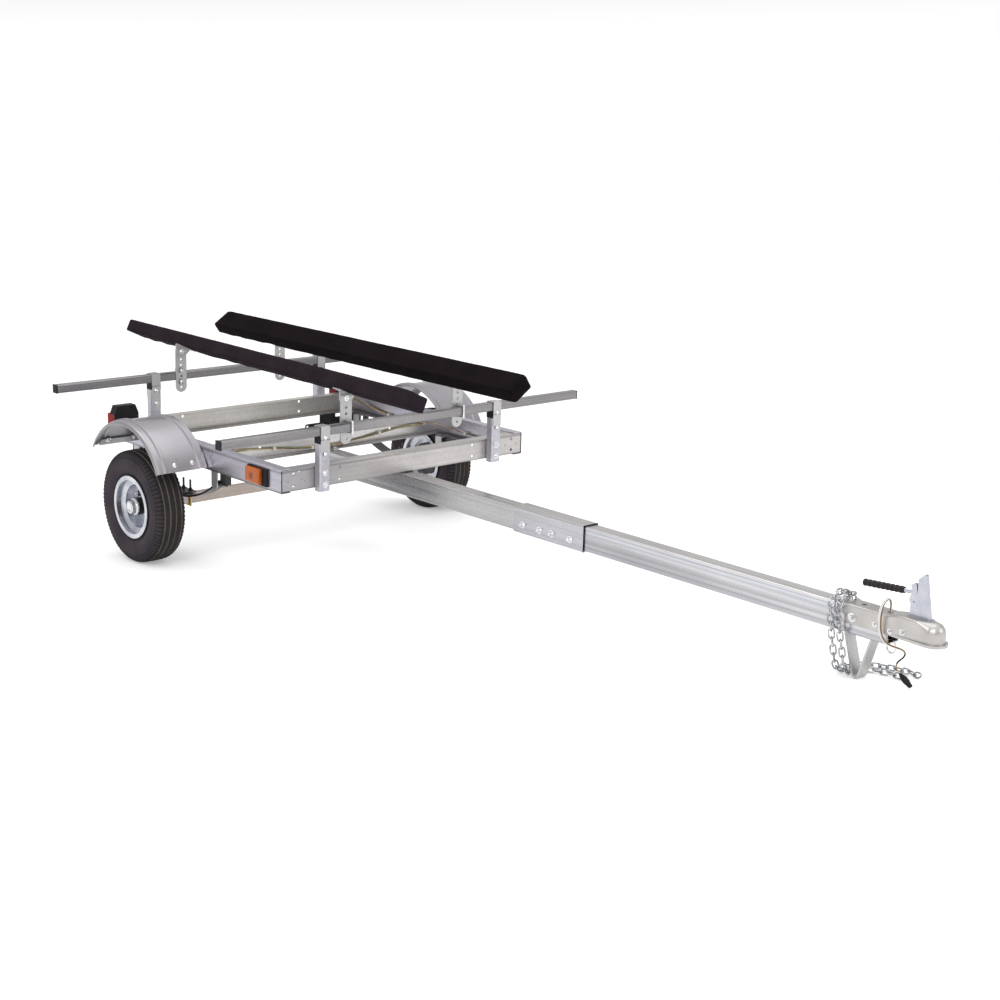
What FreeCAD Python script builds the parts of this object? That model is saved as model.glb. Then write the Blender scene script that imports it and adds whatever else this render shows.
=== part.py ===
"""A light galvanised boat trailer with two carpeted bunks, parked on its wheels and its foot.

Lengths are in millimetres. Everything is modelled in the trailer's own frame: the axle's
centre is the origin, +X points to the coupler, +Y to the trailer's left and +Z up. Each
finished piece is then pitched nose down until the foot meets the floor, lifted by the
wheel's radius and moved so that the origin lies under the middle of the whole trailer.
"""
import FreeCAD
import Part
import math
import os

Vec = FreeCAD.Vector

# Wheels and axle
tyre_radius = 208.0
tyre_width = 122.0
tyre_wall = 16.0
bead_radius = 104.0
wheel_offset = 126.0
tyre_sides = 36
rim_flange_radius = 115.5
rim_flange_half = 55.0
rim_drop_radius = 84.0
rim_wall = 4.0
rim_disc_radius = 78.0
rim_disc_inset = -14.0
rim_disc_wall = 5.0
rim_bore_radius = 32.0
hub_flange_radius = 66.0
hub_flange_wall = 12.0
hub_barrel_radius = 31.0
hub_barrel_inner = 46.0
hub_barrel_outer = 36.0
dust_cap_radius = 24.0
dust_cap_reach = 22.0
stud_circle_radius = 50.8
stud_radius = 6.0
stud_count = 4
stud_reach = 18.0
spindle_radius = 12.7
spindle_fit = 0.05
axle_size = 38.0
axle_wall = 5.0
axle_end_gap = 8.0

# Springs
spring_inset = 33.0
spring_width = 45.0
spring_wall = 7.0
spring_eye_reach = 268.0
spring_eye_height = 112.0
spring_eye_radius = 12.0
spring_seat_length = 90.0
seat_plate_wall = 6.0
clamp_bolt_reach = 46.0
hanger_wall = 4.0
hanger_length = 36.0
hanger_corner = 9.0
spring_block_length = 32.0
spring_block_width = 26.0
spring_block_height = 46.0
hanger_gap = 0.3

# Frame
frame_half_width = 558.0
frame_bottom = 159.5
rail_height = 85.0
rail_flange = 40.0
steel_wall = 3.0
bend_radius = 5.0
frame_front = 689.0
frame_rear = -376.0
mid_member_front = 235.0
nest_gap = 0.3
hole_radius = 5.5
hole_rise = 21.0
front_hole_spread = 308.0
rear_hole_spread = 280.0
mid_hole_spread = 306.0
end_hole_inset = 54.0
small_hole_radius = 3.0
# Small holes in the front crossmember's web, each (y, z)
small_hole_places = [(-529.5, 199), (-480, 229), (-471, 201), (-461, 193.5), (-429.5, 188), (474, 202),
                     (529, 202)]
lamp_wire_hole = 12.0

# Tongue
tongue_width = 56.0
tongue_height = 81.5
tongue_wall = 3.2
tongue_rear_end = 182.0
tongue_joint = 1455.0
tongue_joint_gap = 0.5
tongue_front_end = 2794.0
splice_rear = 1290.0
splice_front = 1620.0
splice_wall = 4.0
splice_gap = 0.3

# Coupler and its latch
coupler_rear = 2652.0
coupler_nose = 2962.0
coupler_wall = 4.0
coupler_skirt_bottom = 112.0
coupler_hole_places = (2693.0, 2780.0)
coupler_hole_radius = 8.0
jaw_rear = 2862.0
flare_rear = 2810.0
rise_start = 2786.0
rise_end = 2834.0
ball_x = 2922.0
ball_height = 136.0
ball_socket_radius = 25.6
dome_top = 175.0
dome_start = 2886.0
dome_round = 31.0
lip_top = 119.0
lip_bottom = 111.0
latch_x = 2844.0
latch_width = 14.0
latch_length = 66.0
latch_height = 124.0
latch_wall = 3.0
latch_flange = 5.0
# The side plate's outline, as shares of its length and height
latch_shares = [(0.02, 0), (0.015, 0.27), (-0.07, 0.355), (-0.02, 0.47), (0.075, 0.53), (-0.02, 0.7),
                (0.05, 0.735), (0.17, 0.74), (0.245, 0.71), (0.27, 0.645), (0.28, 0.55), (0.325, 0.55),
                (0.3, 0.86), (0.36, 0.895), (0.5, 0.96), (0.57, 1), (0.64, 0.975), (0.98, 0)]
latch_hole_share = (0.176, 0.336)
latch_hole_radius = 3.0
grip_front_x = 2819.0
grip_front_height = 240.0
grip_fall = 9.0
grip_radius = 9.0
grip_rib_height = 1.2
grip_rib_count = 9
grip_length = 132.0
lever_radius = 6.0

# Foot
foot_x = 2694.0
foot_bend_height = -34.0
foot_bend_radius = 13.0
foot_wall = 6.0
foot_width = 42.0
foot_half_spread = 34.0

# Load bars and their posts
bar_size = 31.75
bar_wall = 2.5
bar_half_length = 813.0
front_bar_height = 349.0
rear_bar_height = 369.0
cap_reach = 4.0
post_inset = 162.0
post_width = 43.0
post_depth = 33.0
post_wall = 2.5
post_bottom = 154.0
post_cap_height = 27.0
saddle_wall = 3.0
saddle_width = 38.0
saddle_drop = 12.0
saddle_plate_height = 42.0
saddle_plate_gap = 3.0

# Bunks
bunk_width = 95.0
bunk_thickness = 44.0
bunk_rear = -728.0
bunk_front = 1042.0
bunk_corner = 5.0
right_bunk_tilt = 25.0
left_bunk_tilt = 34.0
right_bunk_front_y = -281.0
right_bunk_rear_y = -284.0
left_bunk_front_y = 229.0
left_bunk_rear_y = 185.0
bunk_rise = 22.0
bracket_width = 48.0
bracket_wall = 5.0
bracket_drop = 47.5
bracket_pivot_rise = 114.0
bracket_top_margin = 12.0
bracket_hole_radius = 5.0
bracket_hole_count = 6
angle_length = 40.0
angle_width = 70.0
angle_upright_drop = 16.0
angle_upright_half = 20.0
u_bolt_radius = 4.0
u_bolt_gap = 2.0
u_bolt_tail = 12.0

# Fenders
fender_radius = 265.0
fender_centre_height = 55.0
fender_wall = 3.0
fender_inner_gap = 4.0
fender_overhang = 80.0
fender_rib_height = 5.0
fender_rib_width = 18.0
fender_rib_inset = 16.0
fender_roll = 10.0
fender_front_angle = 25.6
fender_rear_angle = 148.0
fender_lip = 14.0
fender_arm_height = 30.0
fender_arm_inset = 6.5

# Lamps
tail_lamp_width = 104.0
tail_lamp_height = 92.0
tail_lamp_depth = 37.0
tail_hood_height = 32.0
tail_hood_taper = 13.0
tail_front_wall = 6.0
marker_length = 86.0
marker_height = 62.0
marker_depth = 16.0
marker_base_wall = 8.0
marker_base_reach = 30.0
marker_margin = 4.0
marker_chamfer = 6.0
marker_x = 500.0
tail_lamp_overhang = 21.0
tail_lamp_rise = 49.0
tail_lens_reach = 21.0
tail_lens_margin = 2.0
tail_lens_chamfer = 5.0

# Plate bracket
plate_wall = 3.0
plate_arm_start = 234.0
plate_body_start = 170.0
plate_end = 20.0
plate_arm_width = 23.0
plate_drop = 62.0
plate_window_start = 89.0
plate_window_length = 34.0
plate_window_drop = 9.0
plate_window_height = 14.0

# Safety chain
chain_wire = 4.6
chain_inside = 25.0
chain_inside_width = 11.4
chain_gap = 2.0
chain_corner = 1.6
chain_roll = 45.0
chain_height = 9.7
# Each strand's route over the tongue, as (x, y, z) in the trailer's frame, then on along the
# floor, as (x, y)
rear_strand_route = [(2612, 37.3, 92), (2612, 39, 112), (2612, 46, 136), (2612, 41, 163),
                     (2612, 24, 181), (2612, 0, 187), (2612, -24, 181), (2612, -41, 163),
                     (2613, -46, 138), (2615, -44, 108), (2619, -41, 72), (2625, -39, 38),
                     (2630, -38, 10), (2633, -34, -14), (2635, -22, -33)]
rear_strand_floor = [(2635, -2), (2634, 24), (2634, 50), (2641, 74), (2658, 92), (2684, 102),
                     (2722, 112), (2766, 116), (2806, 110), (2836, 97)]
front_strand_route = [(2638, 37.3, 92), (2638, 39, 112), (2638, 46, 136), (2638, 41, 163),
                      (2638, 24, 181), (2638, 0, 187), (2638, -24, 181), (2639, -42, 163),
                      (2641, -49, 138), (2646, -49, 108), (2653, -47, 74), (2660, -45, 40),
                      (2665, -43, 10), (2666, -38, -14), (2665, -24, -33)]
front_strand_floor = [(2663, -3), (2662, 18), (2665, 40), (2677, 55), (2696, 62), (2724, 66), (2762, 66),
                      (2800, 60), (2832, 52)]

# Wiring; each row of a route is (x, y, z), and only the right half of the loom is mirrored
bend_share = 0.45
wire_hole_y = 478.0
wire_hole_z = 203.0
harness_radius = 3.5
branch_radius = 2.5
clip_size = 12.0
clip_slack = 1.0
loom_route = [(-371, 500, 225), (-338, 508, 222), (-300, 526, 212), (-260, 541, 200), (-214, 547.5, 190),
              (-148, 547.5, 182), (-64, 547.5, 178), (28, 547, 180), (98, 542, 187), (140, 522, 194),
              (172, 490, 201), (209, 470, 204), (208, 430, 206), (204.5, 366, 204), (204.5, 290, 198),
              (204.5, 206, 189), (204.5, 118, 179), (204.5, 30, 174)]
branch_route = [(217, 426, 219), (228, 456, 217), (258, 500, 207), (300, 533, 196), (350, 546, 187),
                (404, 548, 182), (458, 548, 184), (512, 551.5, 190)]
member_clip_places = [(204.5, 248, 193.5), (204.5, 74, 176.5)]
rail_clip_places = [(-106, 547.5, 180, harness_radius), (-18, 547.25, 179, harness_radius),
                    (377, 547, 184.5, branch_radius)]

# Plug lead; its route is in the floor's frame
lead_radius = 2.4
lead_route = [(1651, 0, 190), (1653, 0, 219), (1657, -5, 240), (1660, -20, 253), (1659, -38, 249),
              (1655, -48, 230), (1651, -48, 205), (1649, -45, 182), (1650, -43, 158), (1658, -40, 138),
              (1675, -34, 125), (1693, -22, 119), (1705, -9, 112), (1705.5, -1, 99), (1698.5, 0, 88.5),
              (1689, 0, 80), (1680, 0, 71.5), (1675.5, 0, 61), (1678.6, 0, 49.4), (1687.9, 0, 41.8)]
plug_length = 44.0
plug_width = 20.0
plug_height = 13.0
plug_chamfer = 3.0
plug_neck = 6.0
plug_dip = 39.3

overrun = 2.0


def box(x0, x1, y0, y1, z0, z1):
    return Part.makeBox(x1 - x0, y1 - y0, z1 - z0, Vec(x0, y0, z0))


def face_from(points):
    return Part.Face(Part.makePolygon([Vec(*point) for point in points + points[:1]]))


def extrude_y(points_xz, y0, y1):
    face = face_from([(x, y0, z) for x, z in points_xz])
    return face.extrude(Vec(0, y1 - y0, 0))


def extrude_x(points_yz, x0, x1):
    face = face_from([(x0, y, z) for y, z in points_yz])
    return face.extrude(Vec(x1 - x0, 0, 0))


def cylinder(radius, start, end):
    axis = Vec(*end) - Vec(*start)
    return Part.makeCylinder(radius, axis.Length, Vec(*start), axis)


def mirrored(shape):
    return shape.mirror(Vec(0, 0, 0), Vec(0, 1, 0))


def rounded_edges(shape, radius, chosen):
    edges = [edge for edge in shape.Edges if chosen(edge)]
    return shape.makeFillet(radius, edges)


def along(edge, axis):
    first, last = edge.Vertexes[0].Point, edge.Vertexes[-1].Point
    step = last - first
    return step.Length > 0 and abs(step.dot(axis)) > 0.999 * step.Length


X_AXIS = Vec(1, 0, 0)
Y_AXIS = Vec(0, 1, 0)
Z_AXIS = Vec(0, 0, 1)

frame_top = frame_bottom + rail_height
frame_middle = frame_bottom + rail_height / 2
member_bottom = frame_bottom + steel_wall + nest_gap
member_top = frame_top - steel_wall - nest_gap
member_half_length = frame_half_width - steel_wall - nest_gap
half_track = frame_half_width + wheel_offset
spring_half_spread = frame_half_width - spring_inset
post_spread = frame_half_width - post_inset
fender_inner_y = frame_half_width + fender_inner_gap
fender_outer_y = half_track + fender_overhang
tongue_top = member_bottom - nest_gap
tongue_bottom = tongue_top - tongue_height

# Where the parked trailer stands
foot_reach = math.hypot(foot_x, foot_bend_height)
foot_angle = math.atan2(foot_bend_height, foot_x)
pitch = foot_angle + math.asin((tyre_radius - foot_bend_radius) / foot_reach)


def square_tube(x0, x1, y0, y1, z0, z1, wall, axis):
    outer = box(x0, x1, y0, y1, z0, z1)
    outer = rounded_edges(outer, bend_radius, lambda edge: along(edge, axis))
    grow = [overrun if axis.dot(unit) > 0.5 else -wall for unit in (X_AXIS, Y_AXIS, Z_AXIS)]
    hollow = box(x0 - grow[0], x1 + grow[0], y0 - grow[1], y1 + grow[1], z0 - grow[2], z1 + grow[2])
    return outer.cut(hollow)


def side_rail(side):
    web = side * frame_half_width
    inner = side * (frame_half_width - rail_flange)
    low, high = sorted((web, inner))
    outer = box(frame_rear, frame_front, low, high, frame_bottom, frame_top)
    outer = rounded_edges(outer, bend_radius,
                          lambda edge: along(edge, X_AXIS) and abs(edge.Vertexes[0].Y - web) < overrun)
    hollow_low, hollow_high = sorted((web - side * steel_wall, inner - side * overrun))
    hollow = box(frame_rear - overrun, frame_front + overrun, hollow_low, hollow_high,
                 frame_bottom + steel_wall, frame_top - steel_wall)
    return outer.cut(hollow)


def crossmember(web_x, flange_x, holes):
    """A channel across the frame, nested in the side rails, its web at web_x and drilled at holes."""
    low, high = sorted((web_x, flange_x))
    step = 1 if flange_x > web_x else -1
    outer = box(low, high, -member_half_length, member_half_length, member_bottom, member_top)
    outer = rounded_edges(outer, bend_radius,
                          lambda edge: along(edge, Y_AXIS) and abs(edge.Vertexes[0].X - web_x) < overrun)
    hollow_low, hollow_high = sorted((web_x + step * steel_wall, flange_x + step * overrun))
    hollow = box(hollow_low, hollow_high, -member_half_length - overrun, member_half_length + overrun,
                 member_bottom + steel_wall, member_top - steel_wall)
    shape = outer.cut(hollow)
    start, end = web_x - step * overrun, web_x + step * (steel_wall + overrun)
    for y, z, radius in holes:
        shape = shape.cut(cylinder(radius, (start, y, z), (end, y, z)))
    return shape


def hole_pairs(spread):
    """Two holes, one over the other, at each side."""
    return [(side * spread, frame_middle + rise, hole_radius) for side in (-1, 1)
            for rise in (-hole_rise, hole_rise)]


def member_holes(name):
    if name == "front":
        small = [(y, z, small_hole_radius) for y, z in small_hole_places]
        return hole_pairs(front_hole_spread) + hole_pairs(frame_half_width - end_hole_inset) + small
    if name == "rear":
        return hole_pairs(rear_hole_spread)
    single = [(side * mid_hole_spread, frame_middle, hole_radius) for side in (-1, 1)]
    wire = [(side * wire_hole_y, wire_hole_z, lamp_wire_hole) for side in (-1, 1)]
    return single + wire


def tongue_tube(start, end):
    return square_tube(start, end, -tongue_width / 2, tongue_width / 2, tongue_bottom, tongue_top,
                       tongue_wall, X_AXIS)


def tongue_front():
    """The front tube, drilled through its top where the coupler is."""
    shape = tongue_tube(tongue_joint + tongue_joint_gap / 2, tongue_front_end)
    for x in coupler_hole_places:
        shape = shape.cut(cylinder(coupler_hole_radius, (x, 0, tongue_top - tongue_wall - overrun),
                                   (x, 0, tongue_top + overrun)))
    return shape


def tongue_splice():
    """A box sleeve over the joint of the tongue's two tubes."""
    half = tongue_width / 2 + splice_gap
    low = tongue_bottom - splice_gap
    top = tongue_top + splice_gap
    outer = box(splice_rear, splice_front, -half - splice_wall, half + splice_wall, low - splice_wall,
                top + splice_wall)
    outer = rounded_edges(outer, bend_radius, lambda edge: along(edge, X_AXIS))
    hollow = box(splice_rear - overrun, splice_front + overrun, -half, half, low, top)
    return outer.cut(hollow)


def coupler_section(x, corner):
    """The coupler's outline across at x, its two top corners round."""
    half = tongue_width / 2 + splice_gap + coupler_wall
    low, top = lip_bottom, dome_top
    slant = corner * math.sqrt(0.5)
    flat, shoulder = half - corner, top - corner
    edges = [Part.LineSegment(Vec(x, -half, low), Vec(x, -half, shoulder)),
             Part.Arc(Vec(x, -half, shoulder), Vec(x, -flat - slant, shoulder + slant), Vec(x, -flat, top)),
             Part.LineSegment(Vec(x, -flat, top), Vec(x, flat, top)),
             Part.Arc(Vec(x, flat, top), Vec(x, flat + slant, shoulder + slant), Vec(x, half, shoulder)),
             Part.LineSegment(Vec(x, half, shoulder), Vec(x, half, low)),
             Part.LineSegment(Vec(x, half, low), Vec(x, -half, low))]
    return Part.Wire([edge.toShape() for edge in edges])


def coupler_nose_solid():
    """The round nose over the ball: a domed post on a thin brim, turned about the ball's axis."""
    half = tongue_width / 2 + splice_gap + coupler_wall
    brim = coupler_nose - ball_x
    flat, shoulder = half - dome_round, dome_top - dome_round
    slant = dome_round * math.sqrt(0.5)
    edges = [Part.LineSegment(Vec(0, 0, lip_bottom), Vec(0, 0, dome_top)),
             Part.LineSegment(Vec(0, 0, dome_top), Vec(flat, 0, dome_top)),
             Part.Arc(Vec(flat, 0, dome_top), Vec(flat + slant, 0, shoulder + slant), Vec(half, 0, shoulder)),
             Part.LineSegment(Vec(half, 0, shoulder), Vec(half, 0, lip_top)),
             Part.LineSegment(Vec(half, 0, lip_top), Vec(brim, 0, lip_top)),
             Part.LineSegment(Vec(brim, 0, lip_top), Vec(brim, 0, lip_bottom)),
             Part.LineSegment(Vec(brim, 0, lip_bottom), Vec(0, 0, lip_bottom))]
    face = Part.Face(Part.Wire([edge.toShape() for edge in edges]))
    solid = face.revolve(Vec(0, 0, 0), Z_AXIS, 360)
    solid.translate(Vec(ball_x, 0, 0))
    return solid


def coupler():
    """A pressed channel over the tongue's end that rounds into a domed socket with a brim."""
    half = tongue_width / 2 + splice_gap
    outer_half = half + coupler_wall
    top = tongue_top + splice_gap + coupler_wall
    side = [(coupler_rear, coupler_skirt_bottom), (coupler_rear, top), (rise_start, top),
            (rise_end, dome_top), (dome_start, dome_top), (dome_start, coupler_skirt_bottom)]
    channel = extrude_y(side, -outer_half, outer_half)
    channel = rounded_edges(channel, bend_radius, lambda edge: edge.BoundBox.ZMin > tongue_top
                            and edge.BoundBox.YLength < overrun and edge.BoundBox.XMax > coupler_rear + overrun)
    shoulders = Part.makeLoft([coupler_section(dome_start, bend_radius), coupler_section(ball_x, dome_round)],
                              True, True)
    flare = coupler_nose - ball_x
    edge = [(flare_rear, -outer_half), (ball_x, -flare), (ball_x, flare), (flare_rear, outer_half)]
    brim = face_from([(x, y, lip_bottom) for x, y in edge]).extrude(Vec(0, 0, lip_top - lip_bottom))
    shape = channel.fuse([shoulders, coupler_nose_solid(), brim])
    hollow = box(coupler_rear - overrun, jaw_rear, -half, half,
                 lip_bottom - overrun, tongue_top + splice_gap)
    socket = Part.makeSphere(ball_socket_radius, Vec(ball_x, 0, ball_height))
    mouth = Part.makeCylinder(ball_socket_radius, ball_height - lip_bottom + overrun,
                              Vec(ball_x, 0, lip_bottom - overrun))
    shape = shape.cut(hollow).cut(socket.fuse(mouth))
    for x in coupler_hole_places:
        shape = shape.cut(cylinder(coupler_hole_radius, (x, 0, tongue_top - overrun), (x, 0, dome_top)))
    return shape


coupler_top = dome_top


def latch_outline():
    """The latch's side plate: a body with a hooked rear finger and a tall post at its front."""
    places = [latch_x + share * latch_length for share, _ in latch_shares]
    heights = [coupler_top + share * latch_height for _, share in latch_shares]
    return list(zip(places, heights))


def coupler_latch():
    """Two pressed side plates joined by a front wall and a base flange, with the lever's rod."""
    half = latch_width / 2
    outline = latch_outline()
    sides = [extrude_y(outline, side * half - (latch_wall if side > 0 else 0),
                       side * half + (0 if side > 0 else latch_wall)) for side in (-1, 1)]
    front = [outline[-1], outline[-2], (outline[-2][0] - latch_wall, outline[-2][1]),
             (outline[-1][0] - latch_wall, outline[-1][1])]
    web = extrude_y(front, -half, half)
    base = box(latch_x - latch_wall, latch_x + latch_length + latch_flange, -half - latch_flange,
               half + latch_flange, coupler_top, coupler_top + latch_wall)
    reach = latch_x + latch_length * 0.3 - grip_front_x
    rod_end = (grip_front_x + reach, 0, grip_front_height + reach * grip_fall / grip_length)
    rod_start = (grip_front_x + hanger_gap, 0, grip_front_height)
    rod = cylinder(lever_radius, rod_start, rod_end)
    pin = cylinder(lever_radius * 0.7, (rod_end[0], -half + latch_wall / 2, rod_end[2]),
                   (rod_end[0], half - latch_wall / 2, rod_end[2]))
    hole_x = latch_x + latch_hole_share[0] * latch_length
    hole_z = coupler_top + latch_hole_share[1] * latch_height
    hole = cylinder(latch_hole_radius, (hole_x, -half - overrun, hole_z), (hole_x, half + overrun, hole_z))
    return sides[0].fuse([sides[1], web, base, rod, pin]).cut(hole)


def latch_grip():
    """A ribbed sleeve on the lever's rod."""
    front = Vec(grip_front_x, 0, grip_front_height)
    rear = Vec(grip_front_x - grip_length, 0, grip_front_height - grip_fall)
    run = rear - front
    shape = cylinder(grip_radius, tuple(front), tuple(rear))
    for index in range(grip_rib_count):
        start = front + run * ((index + 0.5) / grip_rib_count)
        stop = start + run * (0.4 / grip_rib_count)
        shape = shape.fuse(cylinder(grip_radius + grip_rib_height, tuple(start), tuple(stop)))
    return shape


def parking_foot():
    """A flat bar bent into a V, welded under the tongue, with a round bend at the floor."""
    rise = tongue_bottom - foot_bend_height
    lean = math.atan2(foot_half_spread, rise)
    sine, cosine = math.sin(lean), math.cos(lean)

    def side_points(side, radius):
        foot = Vec(foot_x + side * radius * cosine, 0, foot_bend_height - radius * sine)
        run = (tongue_bottom - foot.z) / cosine
        head = Vec(foot.x + side * run * sine, 0, tongue_bottom)
        return foot, head

    outer_radius = foot_bend_radius
    inner_radius = foot_bend_radius - foot_wall
    rear_foot, rear_head = side_points(-1, outer_radius)
    front_foot, front_head = side_points(1, outer_radius)
    rear_inner, rear_inner_head = side_points(-1, inner_radius)
    front_inner, front_inner_head = side_points(1, inner_radius)
    centre = Vec(foot_x, 0, foot_bend_height)
    outer_low = centre - Vec(0, 0, outer_radius)
    inner_low = centre - Vec(0, 0, inner_radius)
    edges = [Part.LineSegment(rear_head, rear_foot),
             Part.Arc(rear_foot, outer_low, front_foot),
             Part.LineSegment(front_foot, front_head),
             Part.LineSegment(front_head, front_inner_head),
             Part.LineSegment(front_inner_head, front_inner),
             Part.Arc(front_inner, inner_low, rear_inner),
             Part.LineSegment(rear_inner, rear_inner_head),
             Part.LineSegment(rear_inner_head, rear_head)]
    face = Part.Face(Part.Wire([edge.toShape() for edge in edges]))
    solid = face.extrude(Vec(0, foot_width, 0))
    solid.translate(Vec(0, -foot_width / 2, 0))
    return solid


front_bar_x = frame_front
rear_bar_x = frame_rear - bar_size
front_post_x = frame_front
rear_post_x = frame_rear - post_depth
bars = {"front": (front_bar_x, front_bar_height, 1), "rear": (rear_bar_x, rear_bar_height, -1)}


def load_bar(name):
    x, z, _ = bars[name]
    return square_tube(x, x + bar_size, -bar_half_length, bar_half_length, z, z + bar_size,
                       bar_wall, Y_AXIS)


def bar_caps():
    caps = []
    for x, z, _ in bars.values():
        for side in (-1, 1):
            low, high = sorted((side * bar_half_length, side * (bar_half_length + cap_reach)))
            caps.append(box(x, x + bar_size, low, high, z, z + bar_size))
    return caps


def post(name, side):
    x = front_post_x if name == "front" else rear_post_x
    top = bars[name][1] - post_cap_height
    middle = side * post_spread
    return square_tube(x, x + post_depth, middle - post_width / 2, middle + post_width / 2,
                       post_bottom, top, post_wall, Z_AXIS)


def post_caps():
    caps = []
    for name in bars:
        x = front_post_x if name == "front" else rear_post_x
        top = bars[name][1]
        for side in (-1, 1):
            middle = side * post_spread
            caps.append(box(x, x + post_depth, middle - post_width / 2, middle + post_width / 2,
                            top - post_cap_height, top))
    return caps


def bar_saddles():
    """Over each bar a bent strap, and below it a plate that clamps it to the post."""
    saddles = []
    for name, (x, z, out) in bars.items():
        post_x = front_post_x if name == "front" else rear_post_x
        depth = max(post_depth, bar_size)
        low, high = post_x, post_x + depth
        for side in (-1, 1):
            y0 = side * post_spread - saddle_width / 2
            y1 = y0 + saddle_width
            bottom = z - saddle_drop
            top = z + bar_size
            outer = box(low - saddle_wall, high + saddle_wall, y0, y1, bottom, top + saddle_wall)
            hollow = box(low, high, y0 - overrun, y1 + overrun, bottom - overrun, top)
            saddles.append(outer.cut(hollow))
            plate_top = bottom - saddle_plate_gap
            face_x = high if out > 0 else low - saddle_wall
            saddles.append(box(face_x, face_x + saddle_wall, y0, y1,
                               plate_top - saddle_plate_height, plate_top))
    return saddles


bunks = {"right": (-1, right_bunk_tilt, right_bunk_front_y, right_bunk_rear_y),
         "left": (1, left_bunk_tilt, left_bunk_front_y, left_bunk_rear_y)}
front_bracket_x = front_bar_x - bracket_wall
rear_bracket_x = rear_bar_x + bar_size
bracket_hole_pitch = bar_size / 2 + u_bolt_gap + u_bolt_radius


def bunk_step(name):
    """From a bunk's rear seat to its front seat."""
    _, _, front_y, rear_y = bunks[name]
    return Vec(front_bracket_x - rear_bracket_x, front_y - rear_y, front_bar_height - rear_bar_height)


def bunk(name):
    """A carpeted board that rests on its two brackets and leans in towards the middle."""
    side, tilt, front_y, rear_y = bunks[name]
    angle = math.radians(tilt)
    rear = Vec(rear_bracket_x, rear_y, rear_bar_height + bracket_pivot_rise)
    step = bunk_step(name)
    normal = Vec(0, -side * math.sin(angle), math.cos(angle))
    across = Vec(0, -side * math.cos(angle), -math.sin(angle))

    def seat(x):
        return rear + step * ((x - rear.x) / step.x) + normal * bunk_rise

    middle = seat(bunk_rear)
    outer_low = middle - across * (bunk_width / 2)
    inner_low = middle + across * (bunk_width / 2)
    points = [outer_low, inner_low, inner_low + normal * bunk_thickness, outer_low + normal * bunk_thickness]
    solid = Part.Face(Part.makePolygon(points + points[:1])).extrude(seat(bunk_front) - middle)
    run = (seat(bunk_front) - seat(bunk_rear)).normalize()
    return rounded_edges(solid, bunk_corner, lambda edge: along(edge, run))


def bracket_place(name, end):
    _, _, front_y, rear_y = bunks[name]
    if end == "front":
        return front_bracket_x, front_y, front_bar_height
    return rear_bracket_x, rear_y, rear_bar_height


def bunk_bracket(name, end):
    """A drilled plate behind or before the bar, that carries a bunk's angle."""
    x, middle, bar_low = bracket_place(name, end)
    half = bracket_width / 2
    pivot = Vec(x, middle, bar_low + bracket_pivot_rise)
    low = bar_low - bracket_drop + half
    plate = box(x, x + bracket_wall, middle - half, middle + half, low, pivot.z)
    foot = cylinder(half, (x, middle, low), (x + bracket_wall, middle, low))
    head = cylinder(half, (x, middle, pivot.z), (x + bracket_wall, middle, pivot.z))
    head_cut = box(x - overrun, x + bracket_wall + overrun, middle - 2 * half, middle + 2 * half,
                   pivot.z + bracket_top_margin, pivot.z + 2 * half)
    plate = plate.fuse([foot, head]).cut(head_cut)
    first_hole = bar_low - u_bolt_gap - u_bolt_radius - bracket_hole_pitch
    heights = [first_hole + index * bracket_hole_pitch for index in range(bracket_hole_count)]
    for height in heights + [pivot.z]:
        plate = plate.cut(cylinder(bracket_hole_radius, (x - overrun, middle, height),
                                   (x + bracket_wall + overrun, middle, height)))
    return plate


def bunk_angle(name, end):
    """The angle under a bunk: a wall along its underside and an upright that pivots on the plate."""
    side, tilt, _, _ = bunks[name]
    x, middle, bar_low = bracket_place(name, end)
    pivot = Vec(x, middle, bar_low + bracket_pivot_rise)
    angle = math.radians(tilt)
    normal = Vec(0, -side * math.sin(angle), math.cos(angle))
    across = Vec(0, -side * math.cos(angle), -math.sin(angle))
    step = bunk_step(name)
    forward = step * (angle_length / step.x)
    start_x = pivot.x + bracket_wall if end == "rear" else pivot.x
    start = pivot + step * ((start_x - pivot.x) / step.x) + normal * (bunk_rise - hanger_gap)
    if end == "front":
        forward = forward * -1
    half = angle_width / 2
    lap = start + forward * (bracket_wall / (2 * angle_length))
    corners = [lap - across * half, lap + across * half, lap + across * half - normal * bracket_wall,
               lap - across * half - normal * bracket_wall]
    wall = Part.Face(Part.makePolygon(corners + corners[:1])).extrude(forward)
    thick = Vec(bracket_wall if end == "rear" else -bracket_wall, 0, 0)
    low = Vec(start_x, pivot.y, pivot.z) - normal * angle_upright_drop
    top = start - normal * (bracket_wall / 2)
    taper = angle_upright_half
    corners = [top - across * half, top + across * half, low + across * taper, low - across * taper]
    upright = Part.Face(Part.makePolygon(corners + corners[:1])).extrude(thick)
    hole = cylinder(bracket_hole_radius, (start_x - thick.x, pivot.y, pivot.z),
                    (start_x + 2 * thick.x, pivot.y, pivot.z))
    return wall.fuse(upright).cut(hole)


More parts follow.
